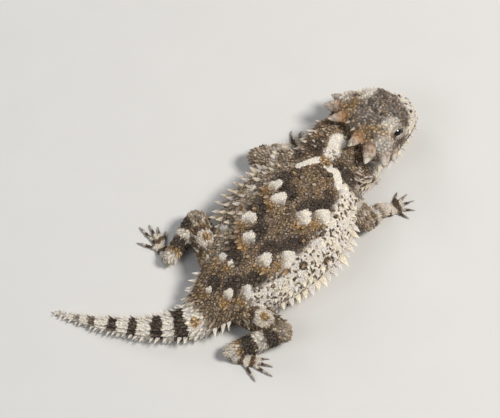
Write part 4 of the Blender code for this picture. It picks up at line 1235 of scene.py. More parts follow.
def scatter(chance, count):
    """Random points spread evenly over the skin, with their normals."""
    a, b, c = (Surface.points[Surface.triangles[:, k]] for k in range(3))
    area = np.linalg.norm(np.cross(b - a, c - a), axis=1)
    picked = chance.choice(len(area), count, p=area / area.sum())
    u, v = chance.random((2, count))
    flip = u + v > 1
    u, v = np.where(flip, 1 - u, u)[:, None], np.where(flip, 1 - v, v)[:, None]
    points = a[picked] * (1 - u - v) + b[picked] * u + c[picked] * v
    na, nb, nc = (Surface.normals[Surface.triangles[picked, k]] for k in range(3))
    return points, unit(na * (1 - u - v) + nb * u + nc * v)


def clear_of(points, radii, taken_points, taken_radii):
    """Which points keep clear of all the taken ones."""
    tree = KDTree(len(taken_points))
    for index, point in enumerate(np.asarray(taken_points).tolist()):
        tree.insert(point, index)
    tree.balance()
    near, widest = tree.find_range, float(np.max(taken_radii))
    return np.array([
        all(apart >= radius + taken_radii[other] for _, other, apart in near(point, radius + widest))
        for point, radius in zip(points.tolist(), radii.tolist())
    ])


def pick_apart(points, radii):
    """Indices of points that, in order, keep clear of those picked before."""
    cell = 2 * float(np.max(radii))
    grid = {}
    near = [(i, j, k) for i in (-1, 0, 1) for j in (-1, 0, 1) for k in (-1, 0, 1)]
    kept = []
    for index, ((x, y, z), r) in enumerate(zip(points.tolist(), radii.tolist())):
        i0, j0, k0 = int(x // cell), int(y // cell), int(z // cell)
        others = (other for i, j, k in near for other in grid.get((i0 + i, j0 + j, k0 + k), ()))
        if all((px - x) ** 2 + (py - y) ** 2 + (pz - z) ** 2 >= (pr + r) ** 2 for px, py, pz, pr in others):
            grid.setdefault((i0, j0, k0), []).append((x, y, z, r))
            kept.append(index)
    return np.array(kept, int)


def turned(value, sign):
    """A turn on the left side, or the like turn on the right side."""
    return value if sign > 0 else math.pi - value


def turn_at(t, side):
    """The turn round the body at which its back lies that far to the side."""
    share = min(abs(side) / spline(BODY, t)[2], 0.98)
    angle = math.acos(share ** (SIDE_CURVE / 2))
    return angle if side > 0 else math.pi - angle


def rows_per_mm(t, angle=0.0):
    step = body_point(t + 0.1, angle) - body_point(t - 0.1, angle)
    return 0.2 / np.linalg.norm(step)


def on_segment(points, first, second):
    """The nearest place on a limb's segment: its share, the way from it to each point, and its radius."""
    a, b = np.array(first), np.array(second)
    step = b[:3] - a[:3]
    share = np.clip((points - a[:3]) @ step / (step @ step), 0, 1)
    return share, points - a[:3] - share[..., None] * step, a[3] + (b[3] - a[3]) * share


def near_limb(point, clearance):
    for joints in LIMBS.values():
        for first, second in zip(joints, joints[1:]):
            _, off, radius = on_segment(point, first, second)
            if np.linalg.norm(off) < radius + clearance:
                return True
    return False


class Spines:
    """Rows of single spines, gathered before they become one mesh."""

    def __init__(self):
        self.rows = []

    def add(self, root, way, length, wide, thick, along, marks=None, tone=0.5, tint=0.5):
        way = unit(way)
        across = unit(along - (along @ way) * way)
        other = np.cross(way, across)
        if other[2] < 0 and abs(other[2]) > 0.2:
            across, other = -across, -other
        self.rows.append((root, across * wide / 2, other * thick / 2, way * length, marks, tone, tint))

    def roots(self):
        return np.array([row[0] for row in self.rows])

    def radii(self, share):
        return np.array([np.linalg.norm(row[1]) * share for row in self.rows])

    def mesh(self, name, form):
        roots = self.roots()
        part, along, turn = places_of(roots)
        marks = markings(roots, part, along)
        for index, row in enumerate(self.rows):
            if row[4] is not None:
                marks[index] = row[4]
        across, other, out = (np.array([row[k] for row in self.rows]) for k in (1, 2, 3))
        tone, tint = (np.array([row[k] for row in self.rows]) for k in (5, 6))
        return stamp(name, form, roots, across, other, out, marks, tone, tint, atlas(part, along, turn))


def outward_frame(point, along, around, centre):
    """Point, outward normal and forward direction of a surface, from two steps on it."""
    along = unit(along)
    normal = unit(np.cross(along, around))
    return point, -normal if normal @ (point - centre) < 0 else normal, along


def body_frame(t, angle):
    point = body_point(t, angle, -0.2)
    along = body_point(t + 0.05, angle) - body_point(t - 0.05, angle)
    around = body_point(t, angle + 0.03) - body_point(t, angle - 0.03)
    return outward_frame(point, along, around, spline(BODY, t)[[0, 1, 5]])


def spot_on_body(t, degrees, sign):
    return body_frame(t, turned(math.radians(degrees), sign))


# Shares of dark, pale, ochre and cool on the palest spines
PALE = (0.0, 0.95, 0.1, 0.0)


def fringe(chance, spines):
    """Four rows of pointed scales along each flank, those on the left painted less pale, as painted shade."""
    # Each row: turn round the body, length, start and step along it, and width to length
    rows = (
        (6, 3.5, 0.0, 2.1, 0.65), (-24, 2.2, 0.5, 1.9, 0.7), (24, 2.0, 0.3, 2.2, 0.75),
        (42, 1.7, 0.1, 2.9, 0.8),
    )
    for sign in (1, -1):
        # The left side's spines are painted duller and less pale than the right side's PALE: painted shade on
        # the left.
        marks = (0.08, 0.55, 0.2, 0.15) if sign > 0 else PALE
        for turn, length, start, step, slim in rows:
            a = turned(math.radians(turn), sign)
            t = FRINGE_FROM + step * start * rows_per_mm(FRINGE_FROM, a)
            while t < FRINGE_TO:
                point, normal, along = body_frame(t, a)
                share = (t - FRINGE_FROM) / (FRINGE_TO - FRINGE_FROM)
                size = length * (0.72 + 0.28 * math.sin(math.pi * share)) * chance.uniform(0.78, 1.1)
                flat = unit(normal * (1, 1, 0))
                way = flat - along * chance.uniform(0.25, 0.6) + UP * chance.uniform(0.0, 0.22)
                if not near_limb(point + unit(way) * size, 0.4) and not near_limb(point, 0.5):
                    wide = slim * size + 0.1
                    spines.add(point - flat * 0.15, way, size, wide, wide * 0.5, along, marks,
                               chance.uniform(0.5, 0.75), chance.uniform(0.2, 1))
                t += step * chance.uniform(0.85, 1.15) * rows_per_mm(t, a)


# Length and width of a back cone of size 1
BACK_LONG, BACK_WIDE = 2.5, 1.5


def cone_places(chance):
    """Where the back's cones stand, forward and to the left, and their sizes: the large ones first."""
    places = list(LONE_CONES)
    for x, y, size in LOBES:
        outward = math.copysign(CONE_OUTWARD, y - MIDLINE)
        places.append((x - CONE_BEHIND * size, y + outward * size, size))
    for band in BACK_BANDS:
        for forward, side, size in SMALL_CONES:
            for sign in (1, -1):
                x = band + forward + chance.uniform(-0.7, 0.7)
                _, middle, half, _, _, _ = spline(BODY, row_at(BODY, x))
                y = middle + sign * side * half / WIDEST
                if all(math.hypot(x - px, y - py) > CONES_APART for px, py, _ in places):
                    places.append((x, y, size))
    return places


def back_spines(chance, spines, collars):
    """Stout cones in cross bands, those between the lobes each in a dark collar of low scales."""
    for number, (x, y, size) in enumerate(cone_places(chance)):
        t = float(row_at(BODY, x))
        if not BACK_FROM < t < BACK_TO:
            continue
        point, normal, along = body_frame(t, turn_at(t, y - spline(BODY, t)[1]))
        if near_limb(point, 0.6):
            continue
        big = size * chance.uniform(0.92, 1.1)
        way = normal - along * chance.uniform(0.5, 0.8)
        wide = BACK_WIDE * big * 0.92
        marks = (chance.uniform(0.1, 0.3), 0.1, 0.75, 0.0) if size > 0.66 else (0.35, 0.0, 0.4, 0.0)
        spines.add(point - normal * 0.1, way, BACK_LONG * big, wide, wide, along, marks,
                   chance.uniform(0.45, 0.65))
        if number < len(LONE_CONES):
            collar(chance, collars, point, normal, along, wide * 0.5)


def collar(chance, spines, point, normal, along, radius):
    """A ring of low dark scales round a cone's root."""
    side = np.cross(normal, along)
    count = 10
    for k in range(count):
        a = 2 * math.pi * (k + chance.uniform(-0.15, 0.15)) / count
        out = along * math.cos(a) + side * math.sin(a)
        root = point + out * (radius + 0.3) + normal * 0.02
        wide = 0.7 * chance.uniform(0.8, 1.2)
        spines.add(root, normal + out * 0.45 - along * 0.25, 0.4, wide, wide, side,
                   (chance.uniform(0.5, 0.9), 0.0, 0.15, 0.0), chance.uniform(0.35, 0.6), chance.random())


def neck_spines(chance, spines):
    """Spines over the neck, and four rows of them on each loose fold behind the jaw."""
    # Each spine: row number along the body, turn in degrees, and length
    rows = ((18.2, 2, 2.6), (18.55, 12, 2.1), (18.8, -6, 2.5), (19.1, 14, 1.9), (18.3, -18, 1.6),
            (17.9, 26, 1.7), (18.6, 34, 1.6), (18.1, 50, 1.4), (18.9, 52, 1.3), (18.4, 68, 1.5),
            (17.6, 6, 1.9), (17.7, -12, 1.5), (18.95, 4, 1.8), (18.45, 22, 1.4), (17.3, 14, 1.4),
            (19.2, 30, 1.2), (17.5, 40, 1.2), (17.9, 60, 1.1), (18.75, 68, 1.2), (19.2, -14, 1.7))
    for t, degrees, long in rows:
        for sign in (1, -1):
            point, normal, along = spot_on_body(t + chance.uniform(-0.06, 0.06), degrees, sign)
            size = long * chance.uniform(0.88, 1.1)
            if not near_limb(point, 0.3):
                way = normal - along * 0.6
                spines.add(point - normal * 0.1, way, size, 0.55 + 0.3 * size, 0.75, along,
                           (0.0, 0.55, 0.2, 0.0), chance.uniform(0.4, 0.7))
    for rear, front in NECK_FOLDS:
        a, b = np.array(rear), np.array(front)
        along = unit(b[:3] - a[:3])
        outward = math.copysign(1, a[1]) * unit(np.cross(UP, along))
        for row, degrees in enumerate((-14, 12, 38, 64)):
            for k in range(4):
                share = 0.05 + 0.27 * (k + 0.5 * (row % 2)) + chance.uniform(-0.05, 0.05)
                turn = math.radians(degrees + chance.uniform(-6, 6))
                normal = outward * math.cos(turn) + UP * math.sin(turn)
                radius = a[3] + (b[3] - a[3]) * share
                root = a[:3] + (b[:3] - a[:3]) * share + normal * (radius - 0.2)
                size = (2.5 - 0.3 * row) * chance.uniform(0.8, 1.1)
                spines.add(root, normal - along * 0.8, size, 0.75 * size, 0.6, along,
                           (0.0, 0.75, 0.1, 0.2), chance.uniform(0.45, 0.7), chance.random())


# First and last row number of the tail's spines, and the half width past which they grow no more
TAIL_SPINES_FROM, TAIL_SPINES_TO, TAIL_SPINES_HALF = 0.35, 9.1, 5.2


def tail_spines(chance, spines):
    """Long pale spines along the tail's edges, and smaller ones over its top."""
    # Each row: turn in degrees, share of the full length, and least half width of the tail
    rows = ((12, 0.95, 0), (-14, 0.6, 1.2), (40, 0.8, 1.0), (66, 0.7, 1.6))
    t = TAIL_SPINES_FROM
    while t < TAIL_SPINES_TO:
        half = spline(BODY, t)[2]
        grown = min(half, TAIL_SPINES_HALF)
        size = 2.5 * (0.38 + 0.14 * grown)
        for sign in (1, -1):
            for degrees, share, least in rows:
                if half < least or (t > 7.7 and degrees > 30):
                    continue
                point, normal, along = spot_on_body(t + chance.uniform(-0.05, 0.05), degrees, sign)
                if near_limb(point, 0.4) or (degrees < 20 and chance.random() < 0.14 and t < 7.2):
                    continue
                long = size * share * chance.uniform(0.65, 1.2)
                flat = unit(normal * (1, 1, 0.35)) if degrees < 20 else normal
                wide = (0.65 + 0.16 * grown) * (0.6 + 0.4 * share)
                lean = chance.uniform(0.25, 0.6) if degrees < 20 else 0.9
                marks = PALE if degrees < 30 else None
                spines.add(point - normal * 0.1, flat - along * lean, long, wide, wide * 0.75, along, marks,
                           chance.uniform(0.5, 0.75))
        t += (1.35 + 0.07 * half) * rows_per_mm(t)


# Rows of spines on the limbs: size on each segment, turns in degrees, and how many in a row
LIMB_SIZES, LIMB_TURNS, LIMB_STEPS = (1.25, 1.1), (14, 50, 90, 130, 166), 5


def limb_spines(chance, spines):
    """Pointed scales along the outer and upper sides of each limb."""
    for joints in LIMBS.values():
        for k, size in enumerate(LIMB_SIZES):
            first, second = np.array(joints[k]), np.array(joints[k + 1])
            step = second[:3] - first[:3]
            way = unit(step)
            across, other = side_axes(way)
            for degrees in LIMB_TURNS:
                for index in range(LIMB_STEPS):
                    share = 0.36 + 0.6 * (index + chance.uniform(-0.2, 0.2)) / (LIMB_STEPS - 1)
                    radius = first[3] + (second[3] - first[3]) * share
                    turn = math.radians(degrees + chance.uniform(-9, 9))
                    normal = across * math.cos(turn) + other * math.sin(turn)
                    root = first[:3] + step * share + normal * (radius - 0.15)
                    t, _ = body_place(root[None])
                    row = spline(BODY, t[0])
                    if np.hypot(*(root[:2] - row[:2])) < row[2] + 0.6 and root[2] < row[3]:
                        continue
                    long = size * chance.uniform(0.6, 1.1)
                    spines.add(root, normal + way * 1.1, long, long * 0.75, long * 0.6, way, None,
                               chance.uniform(0.45, 0.75))


def head_frame(forward, turn):
    point = head_place(head_local(forward, turn, -0.1))
    along = head_place(head_local(forward + 0.2, turn)) - head_place(head_local(forward - 0.2, turn))
    around = head_place(head_local(forward, turn + 0.05)) - head_place(head_local(forward, turn - 0.05))
    return outward_frame(point, along, around, head_place((forward, 0, 0)))


# Points between the horns: root and direction in the head's frame on the left side, and length
HEAD_SPINES = (
    ((11.3, 6.6, 7.4), (-0.5, 0.5, 0.8), 1.2),
    ((13.9, 9.2, 0.3), (-0.3, 1.0, 0.0), 1.5),
    ((5.6, 5.6, 4.2), (-1.0, 0.4, 0.15), 1.5),
    ((5.2, 1.3, 5.0), (-1.0, 0.1, 0.35), 1.6),
    ((7.2, 9.5, 1.2), (-0.7, 0.7, -0.05), 1.4),
    ((9.8, 10.8, -0.9), (-0.4, 0.9, -0.2), 1.6),
)


# Rows along the jaw: how many, first place forward, step, and turn in degrees
JAW_SHIELDS, CHIN_SCALES = (8, 7.8, 1.95, -30), (11, 8.6, 1.3, -52)


def head_spines(chance, spines):
    """Jaw shields, chin scales and the points between the horns."""
    for sign in (1, -1):
        count, first, step, degrees = JAW_SHIELDS
        for k in range(count):
            point, normal, along = head_frame(first + step * k, turned(math.radians(degrees), sign))
            way = normal * (1, 1, 0) - UP * 0.1 - along * 0.3
            size = (2.7 - 0.19 * k) * chance.uniform(0.9, 1.1)
            spines.add(point - unit(way) * 0.3, way, size + 0.4, 2.3 - 0.13 * k, 0.95, along,
                       (0, 0.85, 0.1, 0.1), chance.uniform(0.45, 0.6), chance.uniform(0.3, 0.9))
        count, first, step, degrees = CHIN_SCALES
        for k in range(count):
            point, normal, along = head_frame(first + step * k, turned(math.radians(degrees), sign))
            way = normal * (1, 1, 0.3) - along * 0.5
            size = (1.3 - 0.06 * k) * chance.uniform(0.85, 1.1)
            spines.add(point - normal * 0.1, way, size, 0.9, 0.7, along, (0, 0.8, 0, 0.1),
                       chance.uniform(0.4, 0.6))
        for (forward, side, up), lean, size in HEAD_SPINES:
            root = head_place((forward, sign * side, up))
            way = head_turn((lean[0], sign * lean[1], lean[2]))
            spines.add(root - unit(way) * 0.2, way, size + 0.2, 1.15, 1.1, side_axes(unit(way))[0],
                       (0.1, 0.4, 0.4, 0.1), chance.uniform(0.4, 0.6))


# Rows of raised scales on the head: first and last place forward, turn at each, count, size and lift
HEAD_ROWS = (
    (10.4, 18.0, 56, 50, 9, 1.1, 0.7),
    (15.6, 18.4, 36, 33, 3, 0.9, 0.5),
    (18.6, 22.6, 33, 38, 5, 1.0, 0.5),
    (12.0, 18.6, -2, 2, 8, 0.95, 0.45),
    (11.0, 22.8, -9, -6, 15, 0.85, 0.4),
    (11.0, 22.0, -20, -17, 14, 0.85, 0.4),
    (7.6, 10.2, 30, 38, 4, 1.25, 0.6),
)


def head_rows(chance, spines):
    """Scales over the eyes, along the snout's edges, under the eyes and along both lips."""
    for first, last, turn_a, turn_b, count, size, lift in HEAD_ROWS:
        for sign in (1, -1):
            for k in range(count):
                share = k / (count - 1)
                turn = turned(math.radians(turn_a + (turn_b - turn_a) * share), sign)
                point, normal, along = head_frame(first + (last - first) * share, turn)
                wide = size * chance.uniform(0.9, 1.1)
                spines.add(point - normal * 0.15, normal - along * 0.35,
                           lift * chance.uniform(0.85, 1.2) + 0.15, wide * 1.08, wide * 0.95, along,
                           None, chance.uniform(0.3, 0.75), chance.random())


def horn_mesh(sign, root, lean, length, radius, warm):
    """A horn with growth rings, grooves and a blunt tip, flared at its root and bent a little upwards."""
    at, way, across, other = horn_axes(sign, root, lean)
    foot = -0.3
    reach = length - foot
    sides, count = 28, 40
    # The horn's width at shares of its length
    shares = [0, 0.08, 0.22, 0.45, 0.68, 0.85, 0.95, 1.0]
    widths = [1.3, 1.16, 1.02, 0.86, 0.63, 0.38, 0.2, 0.06]
    a = 2 * math.pi * np.arange(sides) / sides
    rings, tips = [], []
    for k in range(count):
        share = k / (count - 1)
        thick = radius * np.interp(share, shares, widths)
        thick *= 1 + 0.03 * math.sin(share * 40) * (1 - share)
        groove = 1 + (0.05 * np.sin(a * 5 + share * 2) + 0.03 * np.sin(a * 9 - share * 3)) * (1 - share)
        groove += 0.1 * np.maximum(np.sin(a), 0) ** 6 * (1 - share)
        centre = at + way * (foot + reach * share) + UP * HORN_BEND * length * share**2
        round_way = np.cos(a) * groove * thick * 1.06
        rings.append(centre + np.outer(round_way, across) + np.outer(np.sin(a) * groove * thick * 0.9, other))
        tips += [share] * sides
    rings = np.array(rings)
    pits = noise_at(rings.reshape(-1, 3), 1.5, 31) + 0.6 * noise_at(rings.reshape(-1, 3), 3.2, 32)
    middles = rings.mean(axis=1, keepdims=True)
    rings = middles + (rings - middles) * (1 + 0.12 * pits.reshape(count, sides, 1))
    soup = Soup()
    soup.add_rings(rings)
    mesh = soup.mesh("horn")
    grain = columns(np.full(len(tips), 0.5), np.array(tips))
    marks = np.zeros((len(tips), 4))
    marks[:, 3] = warm
    write_marks(mesh, marks, grain, np.full((len(tips), 2), 0.5))
    return mesh


def colour_setting(name, description, default):
    return bpy.props.FloatVectorProperty(name=name, description=description, subtype="COLOR", default=default)


def length_setting(name, description, default, least):
    return bpy.props.FloatProperty(
        name=name, description=description, unit="LENGTH", default=default, min=least
    )


class LizardLooks(bpy.types.PropertyGroup):
    """Colours of the animal and of the floor."""

    ground: colour_setting("Ground", "Grey-beige ground colour of the skin", (0.230, 0.161, 0.104))
    ground_warm: colour_setting("Warm ground", "Browner ground colour in patches", (0.195, 0.122, 0.072))
    olive: colour_setting("Olive", "Olive-yellow of some scales", (0.33, 0.245, 0.105))
    dark: colour_setting("Dark", "Dark blotches and bands", (0.040, 0.027, 0.020))
    pale: colour_setting("Pale", "Pale lobes, fringe and lips", (0.85, 0.765, 0.605))
    pale_cool: colour_setting("Cool pale", "Lavender-white of the lobes", (0.75, 0.70, 0.655))
    ochre: colour_setting("Ochre", "Ochre stain behind the lobes", (0.44, 0.25, 0.08))
    cool: colour_setting("Cool", "Blue-grey of the brows and crown", (0.290, 0.272, 0.262))
    tip: colour_setting("Tips", "Tips of spines and keels", (0.55, 0.44, 0.30))
    horn_grey: colour_setting("Horn", "Grey-tan horn", (0.52, 0.45, 0.395))
    horn_orange: colour_setting("Warm horn", "Orange horn base", (0.42, 0.235, 0.11))
    horn_tip: colour_setting("Horn tip", "Pale horn tip", (0.66, 0.60, 0.51))
    # A dark brown for the horns' streaks and their darker root.
    horn_dark: colour_setting("Horn grooves", "Dirt in the horns' grooves", (0.12, 0.07, 0.04))
    iris: colour_setting("Iris", "Dark brown iris", (0.022, 0.012, 0.007))
    iris_fleck: colour_setting("Iris flecks", "Golden flecks in the iris", (0.10, 0.055, 0.02))
    pupil: colour_setting("Pupil", "Black pupil", (0.004, 0.003, 0.003))
    claw: colour_setting("Claws", "Horn-brown claws", (0.10, 0.06, 0.035))
    floor: colour_setting("Floor", "Pale studio floor", (0.62, 0.61, 0.59))


class LizardSizes(bpy.types.PropertyGroup):
    """Sizes that set how fine the skin and its coat are."""

    voxel: length_setting("Skin grid", "Grid size of the skin's mesh", 0.00033, 0.0002)
    granule: length_setting("Granules", "Radius of the back's small scales", 0.0003, 0.0002)
    keel: length_setting("Keeled scales", "Radius of the back's keeled scales", 0.0005, 0.0003)
    distance: length_setting("Camera distance", "From the camera to the animal", 0.9, 0.3)
    view_wide: length_setting("View width", "Width that the picture covers", 0.1351, 0.05)


class LIZARD_OT_skin(bpy.types.Operator):
    """Make the one skin that covers all the flesh"""

    bl_idname = "lizard.skin"
    bl_label = "Skin"

    def execute(self, context):
        looks, sizes = context.scene.lizard_looks, context.scene.lizard_sizes
        rough = new_object("rough_flesh", joined_flesh().mesh("rough_flesh", metres=False))
        face_outward(rough)
        remesh = rough.modifiers.new("skin", "REMESH")
        remesh.mode = "VOXEL"
        remesh.voxel_size = sizes.voxel / MM
        graph = context.evaluated_depsgraph_get()
        mesh = bpy.data.meshes.new_from_object(rough.evaluated_get(graph))
        bpy.data.objects.remove(rough)
        pairs = edge_pairs(mesh)
        points = relaxed(points_of(mesh), pairs, 5)
        set_points(mesh, points)
        normals = points_of(mesh, "normal")
        points = points + normals * skin_folds(points, normals)[:, None]
        points = relaxed(points, pairs, 1, 0.4)
        points = sink_eyes(points)
        points[:, 2] = np.maximum(points[:, 2], 0.05)
        set_points(mesh, points)
        keep_surface(mesh)
        part, along, _ = places_of(points)
        marks = markings(points, part, along)
        tone = 0.5 + 0.25 * noise_at(points, 1.7, 12)
        tints = columns(0.5 + 0.5 * noise_at(points, 1.1, 13), np.zeros(len(points)))
        write_marks(mesh, marks, columns(tone, np.zeros(len(points))), tints)
        set_points(mesh, to_metres(points))
        mesh.name = "skin"
        mesh.materials.clear()
        # The skin's material paints shade in the gaps between the scales.
        skin = dress("skin", mesh, scaly_material("skin_between_scales", looks, True), sharp=None)
        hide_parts(*FLESH)
        return {"FINISHED"}


def dress(name, mesh, material, sharp=40):
    """Puts one finished piece in place. Edges are sharp past that angle, in degrees."""
    mesh.shade_smooth()
    if sharp:
        mesh.set_sharp_from_angle(angle=math.radians(sharp))
    mesh.materials.append(material)
    piece = new_object(name, mesh)
    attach(piece, BODY_NAME)
    return piece


class LIZARD_OT_spines(bpy.types.Operator):
    """Set the fringes, back cones, neck, tail, limb and head spines on the skin"""

    bl_idname = "lizard.spines"
    bl_label = "Spines"

    def execute(self, context):
        if Surface.points is None:
            raise RuntimeError("make the skin first")
        chance = np.random.default_rng(SEED)
        coat = scaly_material("spine_scales", context.scene.lizard_looks, grit=2.0)
        groups = {
            name: Spines() for name in ("fringe", "back_cones", "cone_collars", "neck_spines", "tail_spines",
                                        "limb_spines", "head_spines", "head_rows")
        }
        fringe(chance, groups["fringe"])
        back_spines(chance, groups["back_cones"], groups["cone_collars"])
        neck_spines(chance, groups["neck_spines"])
        tail_spines(chance, groups["tail_spines"])
        limb_spines(chance, groups["limb_spines"])
        head_spines(chance, groups["head_spines"])
        head_rows(chance, groups["head_rows"])
        forms = {"cone_collars": BEAD, "fringe": TOOTH, "head_spines": TOOTH, "head_rows": SHIELD}
        for name, spines in groups.items():
            dress(name, spines.mesh(name, forms.get(name, SPINE)), coat)
        Surface.spines = groups
        return {"FINISHED"}


def is_paw(part):
    return (part >= FIRST_LIMB) & ((part - FIRST_LIMB) % 3 == 2)


def scale_radius(points, normals, part, along, base):
    """The size of a scale at each point, smallest round the eyes, on the toes and towards the tail's tip."""
    radius = np.full(len(points), base)
    head = part == ON_HEAD
    local = to_head(points)
    top = head & (local[:, 2] > 1.5)
    radius[head] = base * 1.1
    radius[top] = base * 1.4
    snout = head & (local[:, 0] > 18)
    radius[snout] = base * 1.05
    for sign in (1, -1):
        eye = np.linalg.norm(local - EYE_AT * (1, sign, 1), axis=1)
        radius[head & (eye < EYE_RADIUS + LID + 0.5)] = base * 0.62
    paw = is_paw(part)
    radius[paw] = base * 0.72
    tail = (part == ON_BODY) & (along < TAIL_LAST)
    radius[tail] = base * np.interp(along[tail], (0, TAIL_LAST), (0.6, 1.05))
    under = normals[:, 2] < -0.5
    radius[under & ~paw & ~head] = base * 1.6
    return radius


def kept_bare(points):
    """Which points lie inside an eye's opening, on its lids or in a nostril."""
    inside = np.zeros(len(points), bool)
    for sign in (1, -1):
        local = to_eye(points, sign)
        radius = np.linalg.norm(local, axis=1)
        ring = np.hypot(local[:, 0] / (SLIT_HALF + 0.95), local[:, 2] / (SLIT_OPEN + 0.95))
        inside |= (ring < 1) & (radius < EYE_RADIUS + 1.4) & (local[:, 1] > 0)
        inside |= radius < EYE_RADIUS + 0.05
    inside |= from_nostril(to_head(points)) < 0.5
    return inside


# How many random places are tried for the two kinds of scales
KEEL_TRIES, GRANULE_TRIES = 26000, 210000
# The share of its radius at which a scale keeps its neighbours off, and where the tail's keeled scales end
KEEL_APART, GRANULE_APART = 0.92, 0.84
TAIL_KEELS_TO = 7.8


class LIZARD_OT_scales(bpy.types.Operator):
    """Cover the skin with keeled scales, head plates and small granules"""

    bl_idname = "lizard.scales"
    bl_label = "Scales"

    def execute(self, context):
        if Surface.points is None:
            raise RuntimeError("make the skin first")
        sizes = context.scene.lizard_sizes
        chance = np.random.default_rng(SEED + 1)
        coat = scaly_material("coat_scales", context.scene.lizard_looks)
        roots = np.concatenate([group.roots() for group in Surface.spines.values()])
        radii = np.concatenate([group.radii(0.85) for group in Surface.spines.values()])
        for sign in (1, -1):
            for _, root, _, _, radius in HORNS:
                roots = np.vstack([roots, head_place(np.array(root) * (1, sign, 1))])
                radii = np.append(radii, radius * 0.95)
        keels = self.layer(chance, KEEL_TRIES, sizes.keel / MM, roots, radii, True)
        roots = np.vstack([roots, keels[0]])
        radii = np.append(radii, keels[1] * KEEL_APART)
        grains = self.layer(chance, GRANULE_TRIES, sizes.granule / MM, roots, radii, False)
        self.make(chance, "keeled", keels, coat, KEELED)
        self.make(chance, "granules", grains, coat, GRANULE)
        return {"FINISHED"}

    def layer(self, chance, count, base, taken, taken_radii, large):
        """Random places for scales that keep clear of the taken ones and of each other.
        Gives their points, radii, normals, and places on the parts."""
        points, normals = scatter(chance, count)
        part, along, turn = places_of(points)
        radii = scale_radius(points, normals, part, along, base)
        radii *= chance.uniform(0.8, 1.12, count)
        keep = ~kept_bare(points) & (points[:, 2] > 0.08)
        if large:
            radii *= np.where(chance.random(count) < 0.15, 1.55, 1.0)
            trunk = (part == ON_BODY) & (chance.random(count) < 0.14)
            trunk &= markings(points, part, along)[:, 1] < 0.5
            limb = (part >= FIRST_LIMB) & ~is_paw(part)
            tail = (part == ON_BODY) & (along < TAIL_KEELS_TO)
            keep &= (trunk | limb | tail) & (normals[:, 2] > -0.5)
            radii[limb] *= 0.85
        kept = np.flatnonzero(keep)
        kept = kept[clear_of(points[kept], radii[kept] * KEEL_APART, taken, taken_radii)]
        kept = kept[pick_apart(points[kept], radii[kept] * (KEEL_APART if large else GRANULE_APART))]
        return [values[kept] for values in (points, radii, normals, part, along, turn)]

    def make(self, chance, name, layer, coat, form):
        points, radii, normals, part, along, turn = layer
        lie = lie_of(points, part, along)
        back = unit(lie - (lie * normals).sum(1)[:, None] * normals)
        spread = 0.18 if form is KEELED else 1.6
        swing = chance.normal(0, spread, len(points))[:, None]
        across = np.cross(back, normals)
        back = unit(back * np.cos(swing) + across * np.sin(swing))
        across = np.cross(back, normals)
        lift = chance.uniform(0.1, 0.3, len(points))[:, None] if form is KEELED else 0.0
        out = unit(normals - back * lift * 0.3)
        back = unit(back + normals * lift)
        wide = radii * chance.uniform(0.95, 1.15, len(points))
        long = radii * chance.uniform(0.95, 1.25, len(points))
        high = radii * chance.uniform(0.75, 1.15, len(points))
        if form is KEELED:
            high[part >= FIRST_LIMB] *= 0.65
        marks = markings(points, part, along)
        high *= 1 - 0.35 * marks[:, 1] * (part == ON_BODY)
        speckle = chance.normal(0, 0.08, (len(points), 3)) * (1 - 0.8 * marks[:, 1:2])
        marks[:, :3] = (marks[:, :3] + speckle).clip(0, 1)
        tone = 0.46 + 0.2 * noise_at(points, 1.2, 22) + chance.normal(0, 0.12, len(points))
        tone = tone.clip(0.08, 1)
        tint = (0.5 + 0.8 * noise_at(points, 0.85, 23) + chance.normal(0, 0.15, len(points))).clip(0, 1)
        uv = atlas(part, along, turn)
        belly = (normals[:, 2] < -0.6) & (part == ON_BODY)
        above, first_leg = (part == ON_BODY) & ~belly, PARTS.index("leg_right_upper")
        groups = {
            "head": part == ON_HEAD, "trunk": above & (along > TAIL_LAST), "belly": belly,
            "tail": above & (along <= TAIL_LAST), "arms": (part >= FIRST_LIMB) & (part < first_leg),
            "legs": part >= first_leg,
        }
        for place, chosen in groups.items():
            if not chosen.any():
                continue
            shape = PLATE if (place in ("head", "belly") and form is GRANULE) else form
            mesh = stamp(
                name + "_" + place, shape, points[chosen] - normals[chosen] * 0.03,
                across[chosen] * wide[chosen, None], back[chosen] * long[chosen, None],
                out[chosen] * high[chosen, None], marks[chosen], tone[chosen], tint[chosen], uv[chosen],
            )
            dress(name + "_" + place, mesh, coat)


class LIZARD_OT_horns(bpy.types.Operator):
    """Replace the head's eight horns with grooved ones"""

    bl_idname = "lizard.horns"
    bl_label = "Horns"

    def execute(self, context):
        material = horn_material(context.scene.lizard_looks)
        for name, root, lean, length, radius in HORNS:
            for sign, side_name in ((1, "left"), (-1, "right")):
                warm = {"horn_occipital": 0.95, "horn_temporal_rear": 0.5}.get(name, 0.15)
                mesh = horn_mesh(sign, root, lean, length, radius, warm)
                horn = dress(name + "_" + side_name + "_keratin", mesh, material, sharp=None)
                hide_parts(name + "_" + side_name)
        return {"FINISHED"}


